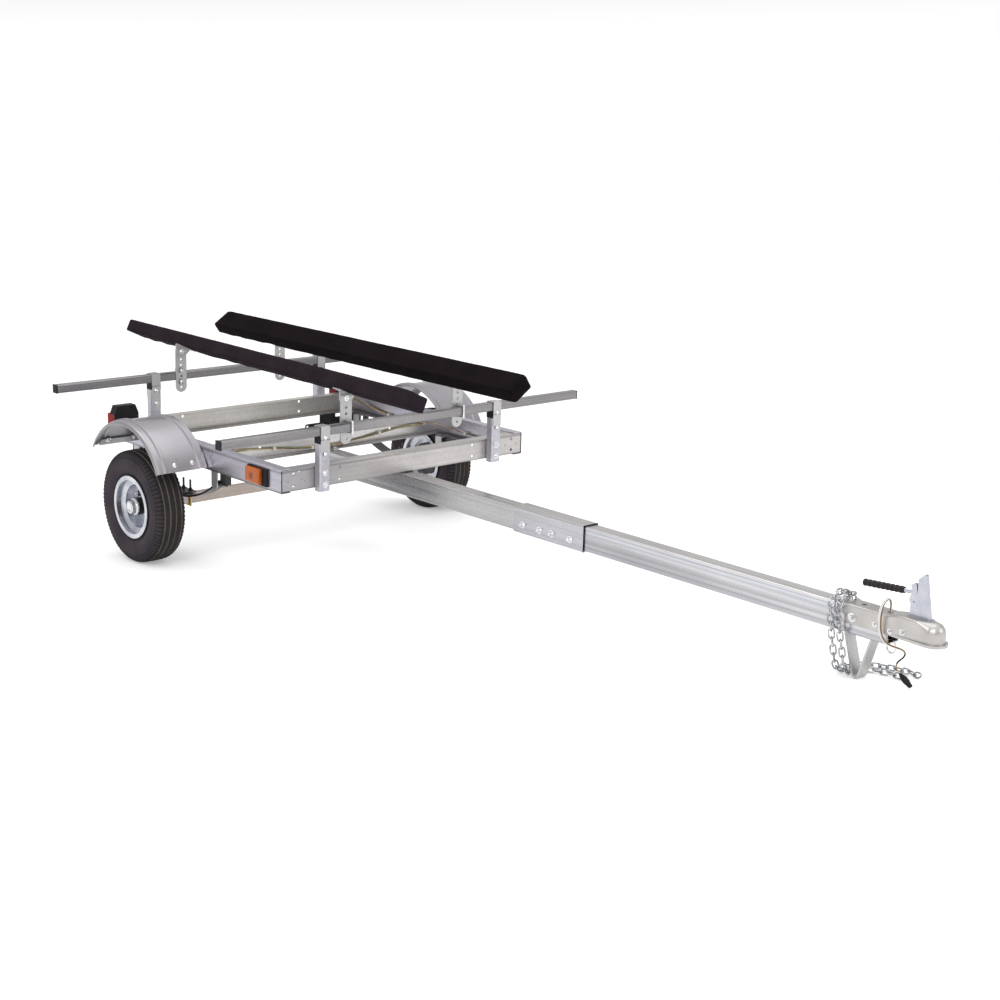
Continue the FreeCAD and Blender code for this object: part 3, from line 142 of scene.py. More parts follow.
ahead = Vector((math.cos(TILT) * math.cos(YAW), math.cos(TILT) * math.sin(YAW), math.sin(TILT)))
level = Vector((math.sin(YAW), -math.cos(YAW), 0))
upright = level.cross(ahead)
camera_right = level * math.cos(ROLL) + upright * math.sin(ROLL)
camera_up = upright * math.cos(ROLL) - level * math.sin(ROLL)
aim = Matrix((camera_right, camera_up, -ahead)).transposed()
aim = Matrix.Rotation(NOSE_DOWN, 3, "Y") @ aim
camera.matrix_world = Matrix.Translation(PARKED @ CAMERA_SPOT) @ aim.to_4x4()
print("camera at", [round(value, 2) for value in camera.matrix_world.translation])

# %% [markdown]
# A studio for metal is mostly something pale to reflect. The floor is a wide disc: its own white
# glow is for the camera and for reflections only, so it lights nothing and still takes shadows.

# %% Floor
FLOOR_SEEN, FLOOR_MIRRORED = 0.30, 0.14


def add_floor():
    bm = bmesh.new()
    bmesh.ops.create_circle(bm, cap_ends=True, radius=60, segments=96)
    floor = new_object("studio_floor", to_mesh(bm, "studio_floor"))
    floor.location.z = -0.0006
    material = bpy.data.materials.new("studio_floor")
    material.use_nodes = True
    tree = material.node_tree
    path = add_node(tree, "LightPath")
    glow = add_node(tree, "Math", {0: path["Is Glossy Ray"], 1: FLOOR_MIRRORED}, operation="MULTIPLY")[0]
    glow = add_node(tree, "Math", {0: path["Is Camera Ray"], 1: FLOOR_SEEN, 2: glow},
                    operation="MULTIPLY_ADD")[0]
    feed(tree, tree.nodes["Principled BSDF"], {
        "Base Color": (0.80, 0.80, 0.80, 1), "Roughness": 0.9, "Specular IOR Level": 0.2,
        "Emission Color": (1, 1, 1, 1), "Emission Strength": glow})
    floor.data.materials.append(material)


add_floor()

# %% [markdown]
# The world is a soft room. It is white at the horizon, where the camera looks past the trailer,
# grey on the walls above, which gives level metal its darker tops, and bright overhead.

# %% World and lamps
WORLD_BANDS = ((0.0, 0.82), (0.535, 0.82), (0.575, 0.56), (0.75, 0.53), (0.93, 1.0))
WORLD_STRENGTH = 1.22


def add_world():
    world = bpy.data.worlds.new("studio")
    bpy.context.scene.world = world
    world.use_nodes = True
    tree = world.node_tree
    height = add_node(tree, "SeparateXYZ", {0: add_node(tree, "TexCoord")["Generated"]})["Z"]
    height = add_node(tree, "MapRange", {"Value": height, "From Min": -1})[0]
    sky = add_ramp(tree, height, [(place, grey(shade)) for place, shade in WORLD_BANDS])
    feed(tree, tree.nodes["Background"], {"Color": sky, "Strength": WORLD_STRENGTH})


def add_light(name, place, target, size, power, colour):
    data = bpy.data.lights.new(name, "AREA")
    data.shape = "RECTANGLE"
    data.size, data.size_y = size
    data.energy = power
    data.color = colour
    light = new_object(name, data)
    light.location = place
    light.rotation_euler = (Vector(target) - Vector(place)).to_track_quat("-Z", "Y").to_euler()


bpy.context.scene.view_settings.view_transform = "Standard"
add_world()
add_light("key", (3.5, -5.5, 4.2), (-0.4, 0, 0.3), (5, 3), 190, (1.0, 0.99, 0.97))
add_light("front", (7.0, 2.5, 3.0), (0, 0, 0.3), (4, 3), 80, (0.95, 0.97, 1.0))
add_light("top", (-0.5, 0.5, 6.0), (-0.5, 0, 0), (6, 4), 110, (1.0, 1.0, 1.0))

# %% [markdown]
# Effects that many finishes share are node groups: built once, then placed in each material
# with its own values. The first turns Object coordinates level with the tongue, so that a
# pattern can follow the steel's own length and height.


# %% Group: the place on the trailer
def new_group(name, values, kinds):
    """A shader node group with float inputs; gives the group, what it is given and its end."""
    group = bpy.data.node_groups.new(name, "ShaderNodeTree")
    for label, value in values.items():
        socket = group.interface.new_socket(name=label, in_out="INPUT", socket_type="NodeSocketFloat")
        socket.default_value = value
    for label, kind in kinds.items():
        group.interface.new_socket(name=label, in_out="OUTPUT", socket_type="NodeSocket" + kind)
    return group, group.nodes.new("NodeGroupInput").outputs, group.nodes.new("NodeGroupOutput")


def make_place():
    group, _, end = new_group("place_on_trailer", {}, {"Place": "Vector"})
    turned = add_node(group, "Mapping", {
        "Vector": add_node(group, "TexCoord")["Object"], "Rotation": (0, -NOSE_DOWN, 0),
        "Location": Matrix.Rotation(-NOSE_DOWN, 3, "Y") @ -AXLE_PLACE})
    feed(group, end, {"Place": turned[0]})
    return group


place_group = make_place()

# %% [markdown]
# Hot zinc freezes into crystals, the spangle. A Voronoi texture gives each cell one random
# shade; a little noise on its coordinates keeps the cell walls from being ruler straight.


# %% Group: zinc spangle
def make_spangle():
    group, given, end = new_group("zinc_spangle", {"Scale": 150}, {"Shade": "Float", "Height": "Float"})
    where = add_node(group, "TexCoord")["Object"]
    warp = add_node(group, "TexNoise", {"Vector": where, "Scale": 90})["Color"]
    bent = add_node(group, "VectorMath", {0: warp, 1: grey(0.008), 2: where}, operation="MULTIPLY_ADD")[0]
    cells = add_node(group, "TexVoronoi", {"Vector": bent, "Scale": given["Scale"]})["Color"]
    split = add_node(group, "SeparateColor", {0: cells})
    feed(group, end, {"Shade": split[0], "Height": split[1]})
    return group


# %% [markdown]
# Two more groups: a slow drift of shade over a whole piece, as rain and handling leave it, and
# fine streaks along one direction, as a rolling mill leaves them. A streak is noise that is
# stretched: a small scale along the grain and a large one across it.


# %% Groups: drift and streaks
def make_drift():
    group, given, end = new_group("slow_drift", {"Scale": 3, "Detail": 3}, {"Shade": "Float"})
    where = add_node(group, "TexCoord")["Object"]
    cloud = add_node(group, "TexNoise", {"Vector": where, "Scale": given["Scale"], "Detail": given["Detail"]})
    shade = add_node(group, "MapRange", {"Value": cloud[0], "From Min": 0.32, "From Max": 0.68})
    feed(group, end, {"Shade": shade[0]})
    return group


def make_streaks():
    group, given, end = new_group("rolled_streaks", {"X": 1.5, "Y": 260, "Z": 260}, {"Shade": "Float"})
    where = add_node(group, "Group", node_tree=place_group)["Place"]
    grain = add_node(group, "CombineXYZ", {axis: given[axis] for axis in "XYZ"})[0]
    stretched = add_node(group, "VectorMath", {0: where, 1: grain}, operation="MULTIPLY")[0]
    lines = add_node(group, "TexNoise", {"Vector": stretched, "Scale": 1, "Detail": 2.5})
    feed(group, end, {"Shade": lines[0]})
    return group


spangle_group, drift_group, streak_group = make_spangle(), make_drift(), make_streaks()
print("node groups:", [group.name for group in bpy.data.node_groups])

# %% [markdown]
# Look is a short notation for one material. The shader stays in the material itself, and each
# method wires one thing to it: a colour, a roughness, or one more layer of bump.


# %% A notation for materials
class Look:
    """One material under construction."""

    def __init__(self, name, roughness, metallic=0.0, specular=0.5):
        self.material = bpy.data.materials.new(name)
        self.material.use_nodes = True
        self.tree = self.material.node_tree
        self.shader = self.tree.nodes["Principled BSDF"]
        self.set({"Roughness": roughness, "Metallic": metallic, "Specular IOR Level": specular})

    def set(self, values):
        feed(self.tree, self.shader, values)

    def node(self, kind, values=None, **settings):
        return add_node(self.tree, kind, values, **settings)

    def place(self, axis):
        """The place along (X), across (Y) or above (Z) the tongue."""
        return self.node("SeparateXYZ", {0: self.node("Group", node_tree=place_group)[0]})[axis]

    def facing_up(self):
        """1 on faces that look up, 0 on upright ones."""
        height = self.node("SeparateXYZ", {0: self.node("TexCoord")["Normal"]})["Z"]
        return self.spread(height, 0, 1, 0.45, 0.8)

    def drift(self, scale, detail=3.0):
        return self.node("Group", {"Scale": scale, "Detail": detail}, node_tree=drift_group)[0]

    def streaks(self, x, y, z):
        return self.node("Group", {"X": x, "Y": y, "Z": z}, node_tree=streak_group)[0]

    def noise(self, scale, detail=3.0):
        where = self.node("TexCoord")["Object"]
        return self.node("TexNoise", {"Vector": where, "Scale": scale, "Detail": detail})[0]

    def mix(self, factor, low, high, blend="MIX"):
        """A colour between low and high; either may be a colour or another socket."""
        low, high = ((*value, 1) if isinstance(value, tuple) else value for value in (low, high))
        return self.node("Mix", {0: factor, 6: low, 7: high}, data_type="RGBA", blend_type=blend)[2]

    def spread(self, socket, low, high, start=0.0, stop=1.0):
        return self.node("MapRange", {"Value": socket, "From Min": start, "From Max": stop,
                                      "To Min": low, "To Max": high})[0]

    def over(self, tone, colour, socket, most, start=0.0, stop=1.0):
        """The tone with none of the colour where the socket is at start, and the most of it at stop."""
        return self.mix(self.spread(socket, 0.0, most, start, stop), tone, colour)

    def ramp(self, socket, low, high, stops):
        """A colour by how far the socket is from low to high."""
        return add_ramp(self.tree, self.spread(socket, 0, 1, low, high), stops)

    def painted_shade_by_height(self, tone, low, high, shades):
        """The tone with painted shade by height: rows of (share of the height, shade)."""
        stops = [(share, grey(shade)) for share, shade in shades]
        return self.mix(1.0, tone, self.ramp(self.place("Z"), low, high, stops), "MULTIPLY")

    def colour(self, socket):
        self.set({"Base Color": socket})

    def roughness(self, socket, low, high, start=0.0, stop=1.0):
        self.set({"Roughness": self.spread(socket, low, high, start, stop)})

    def bump(self, socket, strength, distance):
        """One more layer of bump, over those that are there."""
        values = {"Height": socket, "Strength": strength, "Distance": distance}
        normal = self.shader.inputs["Normal"]
        if normal.is_linked:
            values["Normal"] = normal.links[0].from_socket
        self.set({"Normal": self.node("Bump", values)[0]})


# %% [markdown]
# Zinc on steel: a metal whose tint drifts from cool to warm, darkened crystal by crystal, with
# streaks where the section was rolled. The grain says how noise is stretched along X, Y and Z.
# A frame section gets painted shade in its lower fold and a line of painted shade just under its upper edge.

# %% Galvanised finishes
ALONG_X = (1.5, 130, 130)
ALONG_Y = (130, 1.5, 130)
ALONG_Z = (110, 110, 6)
FRAME_HEIGHTS = (0.1595, 0.2445)
# Painted shade by height on a frame section: its lower fold and a line just under its top edge.
FRAME_PAINTED_SHADE = [(0.0, 0.42), (0.06, 0.50), (0.11, 0.90), (0.16, 0.98), (0.80, 0.98), (0.86, 0.60),
               (0.90, 0.64), (0.94, 1.0)]
GLOSSY_ZINC = (0.01, 0.02, 60, 0.015)
MATT_ZINC = (0.03, 0.04, 180, 0.02)


def zinc_tone(look, base, cool, crystal_scale, crystal_depth, grain, grain_depth):
    """Crystals and streaks laid over a base tint."""
    crystals = look.node("Group", {"Scale": crystal_scale}, node_tree=spangle_group)
    tone = look.over(base, scaled(cool, 1 - crystal_depth), crystals["Shade"], crystal_depth * 2.2)
    if grain:
        lines = look.streaks(*grain)
        tone = look.over(tone, scaled(cool, 0.6), lines, grain_depth, 0.40, 0.70)
        look.bump(lines, 0.10, 0.0005)
    return tone, crystals["Height"]


def zinc_look(name, cool, warm, roughness, crystal_scale, crystal_depth, grain=None, grain_depth=0.5,
              drift_scale=2.6, lines=None):
    look = Look(name, roughness, metallic=0.92)
    tone = look.mix(look.drift(drift_scale), cool, warm)
    tone, height = zinc_tone(look, tone, cool, crystal_scale, crystal_depth, grain, grain_depth)
    # lines are rows of painted shade by height.
    look.colour(look.painted_shade_by_height(tone, *FRAME_HEIGHTS, lines) if lines else tone)
    smoother, rougher, grit, depth = GLOSSY_ZINC if roughness < 0.3 else MATT_ZINC
    look.roughness(height, roughness - smoother, roughness + rougher)
    look.bump(look.noise(grit), depth, 0.0004)
    return look.material


zincs = {
    "rail": ((0.51, 0.50, 0.58), (0.64, 0.61, 0.65), 0.32, 150, 0.22, ALONG_X, 0.3, 5, FRAME_PAINTED_SHADE),
    "member": ((0.72, 0.70, 0.69), (0.80, 0.78, 0.76), 0.34, 150, 0.18, ALONG_Y, 0.3, 5, FRAME_PAINTED_SHADE),
    "rear_member": ((0.58, 0.56, 0.53), (0.70, 0.68, 0.64), 0.36, 130, 0.2, ALONG_Y, 0.2, 6, FRAME_PAINTED_SHADE),
    "bar": ((0.27, 0.265, 0.275), (0.36, 0.34, 0.34), 0.34, 140, 0.18, ALONG_Y, 0.45),
    "post": ((0.50, 0.51, 0.59), (0.64, 0.60, 0.61), 0.34, 150, 0.24, ALONG_Z, 0.4, 14),
    "plate": ((0.50, 0.50, 0.50), (0.58, 0.57, 0.56), 0.42, 200, 0.14),
    "axle": ((0.49, 0.42, 0.38), (0.56, 0.49, 0.43), 0.42, 120, 0.16, ALONG_Y, 0.3),
    "bolt": ((0.60, 0.62, 0.65), (0.88, 0.88, 0.88), 0.18, 320, 0.10, None, 0, 60),
    "chain": ((0.20, 0.21, 0.23), (0.66, 0.67, 0.68), 0.22, 400, 0.1, None, 0, 80),
    "latch": ((0.44, 0.46, 0.53), (0.58, 0.58, 0.63), 0.28, 420, 0.04, None, 0, 20),
    "rim": ((0.46, 0.48, 0.54), (0.72, 0.72, 0.76), 0.22, 260, 0.08, None, 0, 16),
}
looks = {name: zinc_look(name + "_zinc", *row) for name, row in zincs.items()}

# %% [markdown]
# The front crossmember is brighter than the rails and turns darker towards its right end. The tongue's front
# tube is drawn: its sides carry bands along their whole length, read here from the height on the tube, with a
# painted highlight on the top edge and painted shade just under it. The rear tube is plain and dull, and so is
# the splice's top; the rear tube has the same painted highlight and shade lines, and painted shade low down.
# The tops of all three take a colour of their own as painted light from above, and painted shade darkens them
# along the tongue, most at the frame.


# %% Front crossmember, tongue and splice
TUBE_HEIGHTS = (0.081, 0.1625)
TONGUE_RUN = (0.68, 2.66)
# Rows by height on the drawn tube's sides: bands, with a painted highlight on the top edge and painted shade
# just under it.
DRAWN_BANDS_AND_PAINTED_LIGHT = [(0.00, (0.50, 0.49, 0.52)), (0.14, (0.46, 0.46, 0.49)), (0.20, (0.32, 0.32, 0.34)),
                (0.25, (0.52, 0.51, 0.53)), (0.32, (0.54, 0.54, 0.57)), (0.38, (0.40, 0.38, 0.40)),
                (0.50, (0.50, 0.49, 0.50)), (0.58, (0.58, 0.59, 0.62)), (0.72, (0.55, 0.56, 0.59)),
                (0.82, (0.64, 0.65, 0.69)), (0.87, (0.42, 0.44, 0.49)), (0.92, (0.70, 0.70, 0.73)),
                (0.96, (0.95, 0.95, 0.95))]
# The plain tube: painted shade low down and under the top edge, and a painted highlight on the top edge.
PLAIN_TONE_AND_PAINTED_LIGHT = [(0.0, (0.50, 0.49, 0.49)), (0.08, (0.62, 0.61, 0.61)), (0.3, (0.66, 0.65, 0.66)),
               (0.86, (0.70, 0.69, 0.69)), (0.90, (0.50, 0.50, 0.51)), (0.95, (0.95, 0.95, 0.95))]
SPLICE_BANDS = [(0.0, (0.56, 0.55, 0.60)), (0.5, (0.62, 0.61, 0.65)), (0.97, (0.60, 0.59, 0.62))]
# Painted shade along the tongue, darkest where it meets the frame.
TONGUE_PAINTED_SHADE = [(0.0, (0.60, 0.60, 0.61)), (0.06, (0.72, 0.72, 0.73)), (0.12, (0.90, 0.90, 0.90)),
               (0.17, (0.93, 0.93, 0.93)), (0.25, (0.80, 0.80, 0.80)), (0.30, (0.76, 0.76, 0.76)),
               (0.36, (0.84, 0.84, 0.84)), (0.52, (0.92, 0.92, 0.92)), (0.58, (0.83, 0.83, 0.84)),
               (0.72, (0.92, 0.92, 0.92)), (0.82, (1.0, 1.0, 1.0))]


def front_member_look():
    look = Look("front_member_zinc", 0.36, metallic=0.92)
    base = look.mix(look.drift(5.0), (0.55, 0.53, 0.52), (0.64, 0.60, 0.58))
    base = look.over(base, (0.41, 0.40, 0.41), look.place("Y"), 1, -0.22, -0.36)
    tone, height = zinc_tone(look, base, (0.50, 0.49, 0.50), 150, 0.18, ALONG_Y, 0.3)
    # Painted shade by height, as on the other frame members.
    look.colour(look.painted_shade_by_height(tone, *FRAME_HEIGHTS, FRAME_PAINTED_SHADE))
    look.roughness(height, 0.30, 0.44)
    look.bump(look.noise(420, 4), 0.05, 0.0004)
    return look.material


def tongue_look(name, bands):
    look = Look(name, 0.30, metallic=0.92)
    # Top faces take a colour of their own: painted light from above.
    base = look.mix(look.facing_up(), look.ramp(look.place("Z"), *TUBE_HEIGHTS, bands), (0.65, 0.63, 0.61))
    # Painted shade along the tongue's length.
    base = look.mix(1.0, base, look.ramp(look.place("X"), *TONGUE_RUN, TONGUE_PAINTED_SHADE), "MULTIPLY")
    base = look.over(base, (0.36, 0.35, 0.38), look.drift(7.0, 4), 0.22)
    base = look.over(base, (0.86, 0.86, 0.88), look.streaks(1.0, 32, 32), 0.3, 0.5, 0.7)
    lines = look.streaks(1.6, 120, 120)
    look.colour(look.over(base, (0.34, 0.33, 0.35), lines, 0.32, 0.44, 0.66))
    look.roughness(lines, 0.20, 0.34, 0.3, 0.7)
    look.bump(lines, 0.05, 0.0005)
    return look.material


looks["front_member"] = front_member_look()
looks["tongue"] = tongue_look("drawn_tongue_zinc", DRAWN_BANDS_AND_PAINTED_LIGHT)
looks["dull_tongue"] = tongue_look("plain_tongue_zinc", PLAIN_TONE_AND_PAINTED_LIGHT)
looks["splice"] = tongue_look("splice_zinc", SPLICE_BANDS)

# %% [markdown]
# Painted and pressed steel: the silver fenders, the warm grey coupler, and the axle's clamps, which are yellow
# zinc below and dark above a set height.


# %% Fender, coupler and clamp finishes
def fender_look():
    look = Look("fender_silver", 0.30, metallic=0.70)
    look.colour(look.mix(look.drift(4.0), (0.28, 0.265, 0.29), (0.34, 0.325, 0.345)))
    look.roughness(look.noise(8), 0.26, 0.32)
    look.bump(look.noise(30, 2), 0.02, 0.0004)
    look.set({"Coat Weight": 0.35, "Coat Roughness": 0.12})
    return look.material


def coupler_look():
    look = Look("coupler_zinc", 0.34, metallic=0.9)
    base = look.mix(look.drift(16.0, 4), (0.44, 0.425, 0.415), (0.53, 0.505, 0.485))
    look.colour(look.over(base, (0.34, 0.33, 0.33), look.noise(120, 5), 0.25, 0.5, 0.8))
    look.roughness(look.noise(50), 0.30, 0.42, 0.3, 0.7)
    look.bump(look.noise(90), 0.04, 0.0006)
    return look.material


def clamp_look():
    look = Look("clamp_zinc", 0.34, metallic=0.85)
    worn = look.mix(look.noise(120, 4), (0.52, 0.38, 0.12), (0.62, 0.50, 0.24))
    dark = look.mix(look.noise(150, 4), (0.05, 0.05, 0.055), (0.12, 0.11, 0.11))
    look.colour(look.over(worn, dark, look.place("Z"), 1, 0.012, 0.026))
    look.bump(look.noise(500, 4), 0.12, 0.0004)
    return look.material


looks.update({"fender": fender_look(), "coupler": coupler_look(), "clamp": clamp_look()})

# %% [markdown]
# Mouldings, paint and rubber are not metal: a mottled dark colour, a varied roughness and a fine
# grain in the bump. Real black plastic is nearly black, so the base stays very low and the
# gloss is held down, or it would turn grey in a white room.


# %% Mouldings, paint and rubber
def plain_look(name, low, high, roughness, scale, grain, depth, specular=0.35):
    look = Look(name, roughness, specular=specular)
    look.colour(look.mix(look.noise(scale, 4), low, high))
    look.roughness(look.noise(scale * 3), roughness - 0.08, roughness + 0.08, 0.3, 0.7)
    look.bump(look.noise(grain), 0.25, depth)
    return look.material


def rubber_look(name, low, high, dusty):
    look = Look(name, 0.75, specular=0.25)
    tone = look.mix(look.drift(14.0, 6), low, high)
    look.colour(look.over(tone, dusty, look.noise(500, 5), 0.5, 0.5, 0.8))
    look.bump(look.noise(700, 5), 0.2, 0.0006)
    return look.material


looks.update({
    "black": plain_look("black_moulding", (0.005, 0.004, 0.006), (0.012, 0.010, 0.013), 0.5, 30, 1200,
                        0.0003, 0.2),
    "paint": plain_look("black_paint", (0.007, 0.007, 0.008), (0.018, 0.017, 0.018), 0.32, 18, 500,
                        0.0002, 0.5),
    "grip": plain_look("grip_rubber", (0.009, 0.007, 0.008), (0.022, 0.017, 0.020), 0.6, 50, 1500, 0.0004),
    "white": plain_look("white_moulding", (0.62, 0.61, 0.58), (0.74, 0.73, 0.71), 0.4, 50, 900, 0.0002),
    "wall": rubber_look("tyre_wall_rubber", (0.024, 0.018, 0.026), (0.042, 0.033, 0.041),
                        (0.066, 0.054, 0.058)),
    "tread": rubber_look("tyre_tread_rubber", (0.012, 0.010, 0.012), (0.022, 0.018, 0.021),
                         (0.036, 0.031, 0.031)),
    "groove": rubber_look("tyre_groove_dust", (0.11, 0.092, 0.075), (0.19, 0.16, 0.13), (0.26, 0.22, 0.18)),
})
wires = {
    "tan_wire": ((0.42, 0.27, 0.10), (0.58, 0.40, 0.18)),
    "cream_wire": ((0.58, 0.47, 0.28), (0.70, 0.60, 0.40)),
    "brown_wire": ((0.12, 0.055, 0.03), (0.20, 0.10, 0.05)),
    "white_wire": ((0.72, 0.70, 0.66), (0.82, 0.80, 0.77)),
    "green_wire": ((0.20, 0.24, 0.10), (0.30, 0.34, 0.16)),
}
looks.update({name: plain_look(name, low, high, 0.42, 40, 900, 0.0002) for name, (low, high) in wires.items()})

# %% [markdown]
# Marine carpet is short black pile. Fine noise makes its tufts in the bump, a few fibres get painted glints,
# and it has almost no gloss. The left bunk gets a darker copy of it as painted shade. Lamp lenses are clear
# coloured plastic over a grid of small prisms: a Voronoi texture with no randomness is such a grid.


# %% Carpet and lenses
def carpet_look(name, low, high):
    look = Look(name, 0.95, specular=0.06)
    ground = look.mix(look.drift(9.0, 5), low, high)
    # Lighter fibres where the noise is high: painted glints.
    look.colour(look.over(ground, scaled(high, 3), look.noise(2300, 4), 1, 0.52, 0.76))
    look.bump(look.noise(750, 5), 0.8, 0.0022)
    return look.material


def lens_look(name, deep, bright, prism_scale, coat, spot=None):
    """Prisms from bright to deep; a spot is a darker disc: its place along, its height, its reach."""
    look = Look(name, 0.26, specular=0.1)
    where = look.node("TexCoord")["Object"]
    prisms = look.node("TexVoronoi", {"Vector": where, "Scale": prism_scale, "Randomness": 0.0})["Distance"]
    tone = look.over(bright, deep, prisms, 1, 0.1, 0.75)
    if spot:
        along, above, size = spot
        offset = look.node("CombineXYZ", {
            "X": look.spread(look.place("X"), -1, 1, along - 1, along + 1),
            "Z": look.spread(look.place("Z"), -1, 1, above - 1, above + 1)})[0]
        reach = look.node("VectorMath", {0: offset}, operation="LENGTH")["Value"]
        tone = look.over(tone, scaled(deep, 0.35), reach, 0.75, size, size * 0.5)
    look.colour(tone)
    look.bump(prisms, 0.3, 0.001)
    look.set({"Subsurface Weight": 0.15, "Subsurface Radius": (0.006, 0.002, 0.001),
              "Coat Weight": coat, "Coat Roughness": 0.06})
    return look.material


MARKER_MIDDLE = (0.545, 0.202, 0.016)
looks.update({
    "carpet": carpet_look("marine_carpet", (0.012, 0.0085, 0.0115), (0.021, 0.015, 0.020)),
    # The same carpet, darker: painted shade on the left bunk.
    "dark_carpet": carpet_look("shaded_carpet", (0.004, 0.0028, 0.0035), (0.008, 0.0055, 0.0070)),
    "amber": lens_look("amber_lens", (0.32, 0.062, 0.006), (0.60, 0.155, 0.022), 240, 0.5, MARKER_MIDDLE),
    "red": lens_look("red_lens", (0.13, 0.002, 0.002), (0.34, 0.006, 0.005), 200, 0.0),
})
print("finishes:", len(looks))

# %% [markdown]
# Every CAD piece that stays gets its finish. Two modifiers follow: one merges the flat triangles,
# and a small bevel rounds the edges, because a real edge is never sharp and catches the light.

# %% Finishes on the CAD pieces
node_looks = {
    "rail": "side_rail_left side_rail_right",
    "front_member": "front_crossmember",
    "member": "mid_crossmember",
    "rear_member": "rear_crossmember",
    "dull_tongue": "tongue_rear",
    "tongue": "tongue_front",
    "splice": "tongue_splice",
    "coupler": "coupler",
    "latch": "coupler_latch",
    "grip": "latch_grip",
    "plate": "parking_foot bar_saddles bunk_bracket_plates bunk_angles fender_brackets spring_hangers",
    "bar": "load_bars",
    "post": "bar_posts",
    "black": "end_caps tail_lamp_housings side_marker_bases plug plug_lead",
    "carpet": "bunk_right",
    "dark_carpet": "bunk_left",
    "bolt": "bracket_u_bolts",
    "axle": "axle",
    "clamp": "axle_clamps",
    "fender": "fender_left fender_right",
    "paint": "leaf_springs hub_left hub_right plate_bracket spring_blocks",
    "wall": "tyre_left tyre_right",
    "rim": "rim_left rim_right",
    "red": "tail_lamp_lenses",
    "amber": "side_marker_lenses",
    "chain": "safety_chain",
    "tan_wire": "wiring_harness",
    "white": "harness_clips",
}
EDGE_WIDTHS = {"rail": 0.0014, "front_member": 0.0014, "member": 0.0014, "rear_member": 0.0014,
               "post": 0.0012, "splice": 0.0012, "plate": 0.001, "bar": 0.001, "tongue": 0.002,
               "dull_tongue": 0.002}
FINE_EDGE = 0.0005
undressed = set(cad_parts)
for look_name, node_names in node_looks.items():
    for name in node_names.split():
        undressed.discard(name)
        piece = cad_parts[name]
        piece.data.materials.clear()
        piece.data.materials.append(looks[look_name])
        merge = piece.modifiers.new("flat faces", "DECIMATE")
        merge.decimate_type = "DISSOLVE"
        merge.angle_limit = math.radians(0.5)
        soften = piece.modifiers.new("soft edges", "BEVEL")
        soften.limit_method = "ANGLE"
        soften.angle_limit = math.radians(38)
        soften.width = EDGE_WIDTHS.get(look_name, FINE_EDGE)
        soften.segments = 2
        soften.harden_normals = False
print("pieces without a finish:", sorted(undressed))

# %% [markdown]
# Turned forms, such as nuts, washers and the hub's cap, come from one tool: a profile of
# (radius, height) points, spun about any axis. Six steps make a hexagon, fifty a round. A point
# at radius zero would leave a bundle of corners on the axis, so doubles are merged.


# %% Tools for new pieces
def frame_of(axis):
    """The axis and two directions square to it."""
    axis = Vector(axis).normalized()
    helper = Vector((0, 0, 1)) if abs(axis.z) < 0.9 else Vector((1, 0, 0))
    first = axis.cross(helper).normalized()
    return axis, first, axis.cross(first)


def newest(elements, count):
    """The elements after the first count of them."""
    elements.ensure_lookup_table()
    return elements[count:]


def edges_of(verts):
    return list({edge for vert in verts for edge in vert.link_edges})


def end_loop(geom):
    """The corners in a bmesh result, and the edges that run between them."""
    corners = [item for item in geom if isinstance(item, bmesh.types.BMVert)]
    return corners, [item for item in geom if isinstance(item, bmesh.types.BMEdge)
                     and all(vert in corners for vert in item.verts)]


def polyline(bm, points, closed=False):
    """Corners at the points, and the edges that join them."""
    corners = [bm.verts.new(point) for point in points]
    ends = corners[1:] + corners[:1] if closed else corners[1:]
    return corners + [bm.edges.new(pair) for pair in zip(corners, ends)]


def spun(bm, geom, centre, axis, angle, steps, stride=(0, 0, 0), merge=False):
    """Spin corners and edges about an axis, or move them by strides; gives the last ones."""
    return bmesh.ops.spin(bm, geom=geom, cent=centre, axis=axis, dvec=stride, angle=angle, steps=steps,
                          use_merge=merge)["geom_last"]


def drawn_on(bm, edges):
    """Extrude a loop of edges where it lies; gives the new corners and their edges."""
    return end_loop(bmesh.ops.extrude_edge_only(bm, edges=edges)["geom"])


def lathe(bm, origin, axis, profile, steps, phase=0.0):
    """Turn (radius, height) points about the axis."""
    axis, first, second = frame_of(axis)
    origin = Vector(origin)
    spoke = first * math.cos(phase) + second * math.sin(phase)
    before = len(bm.verts)
    line = polyline(bm, [origin + axis * height + spoke * radius for radius, height in profile])
    spun(bm, line, origin, axis, 2 * math.pi, steps, merge=True)
    bmesh.ops.remove_doubles(bm, verts=newest(bm.verts, before), dist=0.001)


def block(bm, low, high, edge):
    """A small block between two corners; the edges at the newest corners are bevelled."""
    before = len(bm.verts)
    low, high = Vector(low), Vector(high)
    made = bmesh.ops.create_cube(bm, size=1)["verts"]
    bmesh.ops.scale(bm, vec=high - low, verts=made)
    bmesh.ops.translate(bm, vec=(low + high) / 2, verts=made)
    bmesh.ops.bevel(bm, geom=edges_of(newest(bm.verts, before)), offset=edge, segments=2, profile=0.5,
                    affect="EDGES", material=-1)


def finish_piece(name, bm, look_names, body="trailer", carry=PARKED, smooth=40, replaces=None):
    """Turn the mesh into a piece that rides on its body; its looks become its material slots, in order."""
    bmesh.ops.recalc_face_normals(bm, faces=bm.faces)
    bm.transform(carry)
    for edge in bm.edges:
        edge.smooth = not (len(edge.link_faces) == 2 and edge.calc_face_angle(0) > math.radians(smooth))
    for face in bm.faces:
        face.smooth = True
    piece = new_object(name, to_mesh(bm, name))
    for look_name in look_names:
        piece.data.materials.append(looks[look_name])
    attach(piece, body)
    if replaces:
        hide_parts(replaces)
    print(name, "faces", len(piece.data.polygons))
    return piece


# %% [markdown]
# The bunks are boards wrapped in carpet. A board's round-cornered outline is swept along its
# length by a spin whose angle is zero, so it only moves. Then noise lifts the pile a little, and
# the ends draw in, where the carpet is folded over like paper on a parcel.

